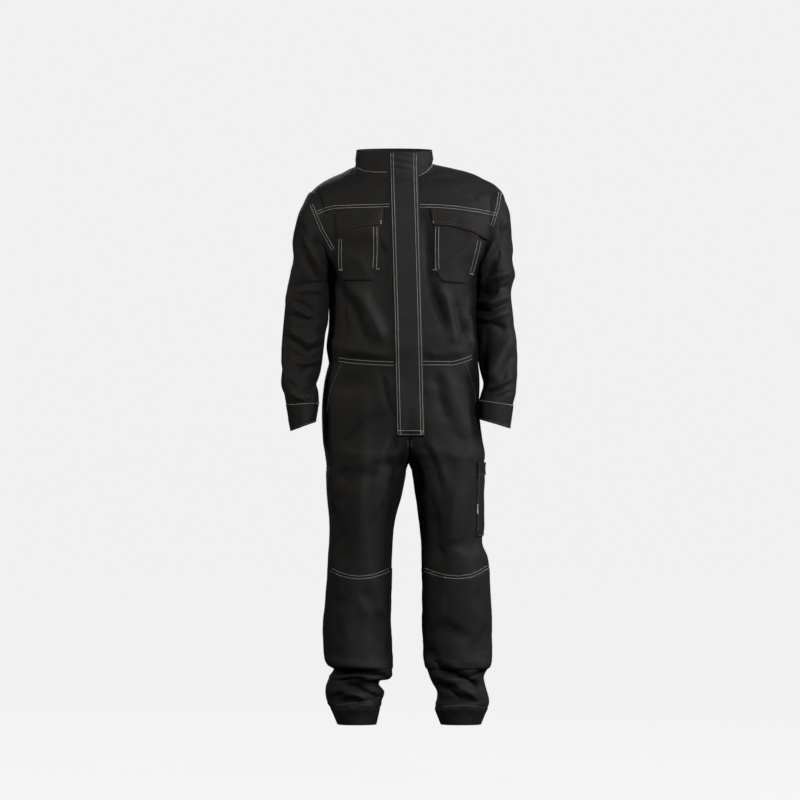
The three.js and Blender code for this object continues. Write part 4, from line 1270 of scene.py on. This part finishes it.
# Lines of stitches on the front: the rows' distances from the line, and the line, both in the
# photo's pixels
one = (0,)
bar = (-0.35, 0.35)
stitchLines = {
    "pale": [
        # placket
        ((0, -2.5), [(390.7, 154.2), (391.6, 190), (395.3, 313), (398, 434.4)]),
        ((0, 2.5), [(416.4, 154.2), (416.2, 170), (420.3, 313), (423.3, 434.4)]),
        ((0, -4), [(398, 434.4), (423.3, 434.4)]),
        (one, [(419.5, 430.4), (423.3, 434.4)]),
        (one, [(423.3, 430.4), (419.5, 434.4)]),
        # yokes, waist and neck
        ((0, 2.6), [(315.5, 213), (325, 208.9), (334, 206.7), (352, 206.2), (372, 205.7), (389.8, 205.2)]),
        ((0, 2.6), [(419.4, 205.8), (436, 205.9), (456, 207.4), (478, 210.4), (497, 214)]),
        ((0, 3.4), [(338.9, 358), (352, 359.8), (372, 361.4), (394, 362.2)]),
        ((0, 3.4), [(422.4, 361.5), (452.8, 361.8), (463, 359), (471.2, 355.8)]),
        (one, [(434, 162), (431, 167), (427, 172), (418.5, 177)]),
        (one, [(357, 168), (364, 171.5), (376, 173), (388, 173)]),
        # armholes
        ((0, -2.6), [(310.6, 205.6), (313.4, 213), (321, 231), (332.6, 251.5)]),
        ((0, 2.6), [(501, 193), (499, 206), (496, 217), (492.5, 228)]),
        # chest pockets
        ((0, 3.4), [(377, 228), (377.4, 250), (376.6, 269)]),
        ((0, -2.6), [(339.5, 240), (339, 256), (339.5, 270)]),
        ((0, -3.2), [(435.4, 228), (435, 250), (435.4, 270)]),
        ((0, 3.2), [(480.6, 242), (477, 258), (473, 274)]),
        # bars of dense thread at the ends of the pockets' stitches and the flaps' corners
        (bar, [(376.2, 269.6), (381, 269.8)]),
        (bar, [(338.6, 270.6), (343.2, 270.6)]),
        (bar, [(432, 270.6), (436.6, 270.6)]),
        (bar, [(469.6, 274), (473.8, 275)]),
        (bar, [(380.7, 221.4), (380.9, 225.4)]),
        (bar, [(433, 221.8), (433.4, 225.4)]),
        # knee pockets
        ((0, 2.8), [(331.6, 567.8), (340, 571.6), (350, 574.4), (360, 575.4), (372, 574), (382, 571),
                    (389, 567.8)]),
        ((0, 2.8), [(424.6, 567.6), (434, 571.2), (446, 574.2), (458.5, 575.2), (470, 573.6),
                    (480, 569.4), (487.6, 565)]),
    ],
    "red": [
        # chest flaps
        ((0, 2.4), [(381.2, 212), (380.6, 224.6)]),
        ((0, -2.2), [(381, 224.8), (366, 225.8), (352, 229.4), (339, 235.6)]),
        ((0, -2.4), [(431.6, 212), (434, 224.6)]),
        ((0, -2.2), [(434, 224.8), (450, 225.8), (470, 230.6), (485.6, 239)]),
    ],
    "faint": [
        # bars below the placket, hip pockets and hems
        (bar, [(408, 440), (408, 447.5)]),
        (bar, [(411.5, 440), (411.5, 447.5)]),
        (one, [(341.5, 364), (333, 383), (329, 397), (326.8, 413)]),
        (one, [(464.5, 362), (469.6, 374), (474.6, 392), (476.6, 410)]),
        (one, [(334.5, 705), (346, 703), (360, 701), (373, 700), (380.5, 696.5)]),
        (one, [(443, 706), (452, 704.6), (461, 704), (474, 705), (485.6, 707)]),
    ],
}
for kind, lines in stitchLines.items():
    for offsets, path in lines:
        frontRun(path, offsets, kind)

# thigh pocket, along its edges
for part, rows, columns, kind in (
        (thighBag, slice(6, -3), 1, "faint"),
        (thighBag, slice(6, -3), -2, "faint"),
        (thighBag, -2, slice(2, -2), "faint"),
        (thighFlap, -2, slice(1, -1), "red"),
        (thighFlap, -4, slice(1, -1), "red"),
        (thighFlap, slice(2, -2), 1, "red"),
        (thighFlap, slice(2, -2), -2, "red")):
    curveRun(part[rows, columns], normalsOf(part, closed=False)[rows, columns], kind)

# sides and back, continued plainly: distances of the rows from each seam, in metres
sideRows = (0.002, 0.0085)
waistRows = (0.004, 0.0125)
yokeRows = (0.002, 0.009)
armholeRows = (0.004, 0.0105)
hemRow = hemZ + 0.05
for name, side in sides.items():
    grid = legs[name]
    around = grid.shape[1]
    outerColumn, innerColumn = (0, around // 2) if side < 0 else (around // 2, 0)
    for shift in sideRows:
        columnRun(grid, outerColumn, -size["bodyLength"] - 0.01, hemRow, side * shift)
    columnRun(grid, innerColumn, crotchZ - 0.02, hemRow, -side * sideRows[0])
    ringRun(grid, hemRow, range(around // 2, around + 1), "faint")
around = trunk.shape[1]
for seamZ, rows, short in (
        (-size["bodyLength"], waistRows, 0), (-size["yokeDrop"], yokeRows, 12)):
    for row in rows:
        ringRun(trunk, seamZ + row, range(around // 2 + short, around + 1 - short))


def armholeSeam(sleeve):
    # where the sleeve's cloth leaves the trunk's, column by column, and its way down from there
    rows = int(len(sleeve) * 0.6)
    depth = depthInside(trunkTree, sleeve[:rows])
    line, down = [], []
    for c in range(sleeve.shape[1]):
        out = np.flatnonzero(depth[:, c] < 0)
        if len(out):
            r = max(1, out[0])
            line.append(sleeve[r, c])
            down.append(sleeve[min(r + 3, len(sleeve) - 1), c] - sleeve[r, c])
    return np.array(line), down


for name, sleeve in sleeves.items():
    line, down = armholeSeam(sleeve)
    line = blur(line[:, None], 2.5, 0, False)[:, 0]
    for shift in armholeRows:
        points, normals = [], []
        for p, d in zip(line, down):
            aim = Vector(p) - Vector(d).normalized() * shift
            place, normal, _, _ = trunkTree.find_nearest(aim)
            if normal.y > -0.1:
                points.append(place[:])
                normals.append(normal[:])
        curveRun(points, normals)
    cuff = cuffs[name]
    ring = np.arange(cuff.shape[1] + 1) % cuff.shape[1]
    for row, kind in ((1, "pale"), (len(cuff) - 3, "faint")):
        curveRun(cuff[row, ring], normalsOf(cuff)[row, ring], kind)


def stitchMesh(name, group, material):
    # every stitch is a short bent capsule lying on the cloth
    corners, pitch, radius = stitch["sides"], stitch["pitch"], stitch["radius"]
    turn = np.arange(corners) * 2 * math.pi / corners
    allPoints, allFaces = [], []
    for points, normals in group:
        run = distances(points)
        for s in range(int(run[-1] / pitch)):
            begin = s * pitch + stitch["gap"] / 2
            end = (s + 1) * pitch - stitch["gap"] / 2
            a, b = pointsAt(begin, run, points), pointsAt(end, run, points)
            n = pointsAt((begin + end) / 2, run, normals)
            along = b - a
            length = np.linalg.norm(along)
            if length < 1e-4 or length > 3 * pitch:
                continue
            along /= length
            n -= along * n.dot(along)
            n /= np.linalg.norm(n) + 1e-9
            aside = np.cross(along, n)
            start = len(allPoints)
            for t, thick, lift in stitch["profile"]:
                place = a + (b - a) * t + n * radius * lift
                for w in turn:
                    allPoints.append(place + radius * thick * (math.cos(w) * n + math.sin(w) * aside))
            for r in (start, start + corners):
                for k in range(corners):
                    m = (k + 1) % corners
                    allFaces.append([r + k, r + m, r + corners + m, r + corners + k])
            allFaces.append(list(range(start, start + corners))[::-1])
            allFaces.append(list(range(start + 2 * corners, start + 3 * corners)))
    if not allPoints:
        return
    points = np.array(allPoints)
    piece = makeMesh(name, points, allFaces, points[:, :2] * 0, None, material)
    print(name, len(allPoints) // (3 * corners), "stitches")


waist = -size["bodyLength"] - 0.02
for kind, group in runs.items():
    for half in ("upper", "lower"):
        part = [r for r in group if (r[0][:, 2].mean() > waist) == (half == "upper")]
        stitchMesh("stitching_" + kind + "_" + half, part, threads[kind])

# Camera, floor and light

studio = {
    "distance": 20.0,
    "sensor": 36,
    "pixels": 800,
    "clipEnd": 80,
    "depth": 21.5,          # from the coverall to where the backdrop rises
    "bend": 1.5,            # radius of the backdrop's foot
    "top": 6.0,
    "side": 7,              # half of the floor's width
    "floorHeight": -1.568,
    "floorEdge": -3.0,      # where the front floor begins, out of sight from the front
    "frontEnd": -30,
    "backdrop": (0.03, 0.03, 0.03, 1),
    "frontFloor": (0.2, 0.2, 0.2, 1),
    "backdropGlow": 0.875,
    "world": 0.04,
}
# place, aim, width, height, power and colour
softboxes = {
    "left softbox": ((-2.5, -1.0, 0.9), (0, 0, -0.5), 0.7, 1.6, 30, (1, 0.97, 0.93)),
    "right softbox": ((2.5, -0.6, 0.7), (0, 0, -0.5), 0.7, 1.6, 60, (0.95, 0.98, 1)),
    "back softbox": ((-1.2, 4.2, 1.2), (0, 0, -0.6), 1.4, 1.4, 40, (1, 1, 1)),
    "key softbox": ((2.1, -3.9, 0.9), (0, 0, -0.6), 1.1, 1.1, 116, (1, 0.99, 0.97)),
}
scene = bpy.context.scene
imageCentre = fromPhoto(studio["pixels"] / 2, studio["pixels"] / 2)

cameraData = bpy.data.cameras.new("camera")
cameraData.sensor_width = studio["sensor"]
cameraData.lens = studio["sensor"] * studio["distance"] / (studio["pixels"] * pixel)
cameraData.clip_end = studio["clipEnd"]
camera = bpy.data.objects.new("camera", cameraData)
camera.location = (imageCentre[0], -studio["distance"], imageCentre[1])
camera.rotation_euler = (math.pi / 2, 0, 0)
scene.collection.objects.link(camera)
scene.camera = camera


def sweep(name, profile, colour, glow):
    # floor or wall, drawn out sideways from a profile of (depth, height)
    ends = (-studio["side"], studio["side"])
    points = [(x, y, studio["floorHeight"] + z) for y, z in profile for x in ends]
    faces = [[2 * k, 2 * k + 1, 2 * k + 3, 2 * k + 2] for k in range(len(profile) - 1)]
    mesh = bpy.data.meshes.new(name)
    mesh.from_pydata(points, [], faces)
    mesh.polygons.foreach_set("use_smooth", [True] * len(mesh.polygons))
    sheet = bpy.data.objects.new(name, mesh)
    scene.collection.objects.link(sheet)
    mesh.materials.append(Graph(name).surface(
        Base_Color=colour, Roughness=0.95, Specular_IOR_Level=0.1,
        Emission_Color=(1, 1, 1, 1), Emission_Strength=glow))
    sheet.visible_glossy = False
    sheet.visible_diffuse = False


far, bend, edge = studio["depth"], studio["bend"], studio["floorEdge"]
foot = [(far + bend * math.sin(a), bend - bend * math.cos(a)) for a in np.linspace(0, math.pi / 2, 13)]
profile = [(edge, 0.0)] + foot + [(far + bend, studio["top"])]
sweep("studio_floor", profile, studio["backdrop"], studio["backdropGlow"])
sweep("studio_front_floor", [(studio["frontEnd"], -0.002), (edge, -0.002)], studio["frontFloor"], 0.0)

for name, (place, aim, width, height, power, colour) in softboxes.items():
    data = bpy.data.lights.new(name, "AREA")
    data.shape = "RECTANGLE"
    data.size = width
    data.size_y = height
    data.energy = power
    data.color = colour
    light = bpy.data.objects.new(name, data)
    light.location = place
    light.rotation_euler = (Vector(aim) - Vector(place)).to_track_quat("-Z", "Y").to_euler()
    scene.collection.objects.link(light)

world = bpy.data.worlds.new("studio")
world.use_nodes = True
background = world.node_tree.nodes["Background"]
background.inputs["Color"].default_value = (1, 1, 1, 1)
background.inputs["Strength"].default_value = studio["world"]
scene.world = world
scene.view_settings.view_transform = "Standard"
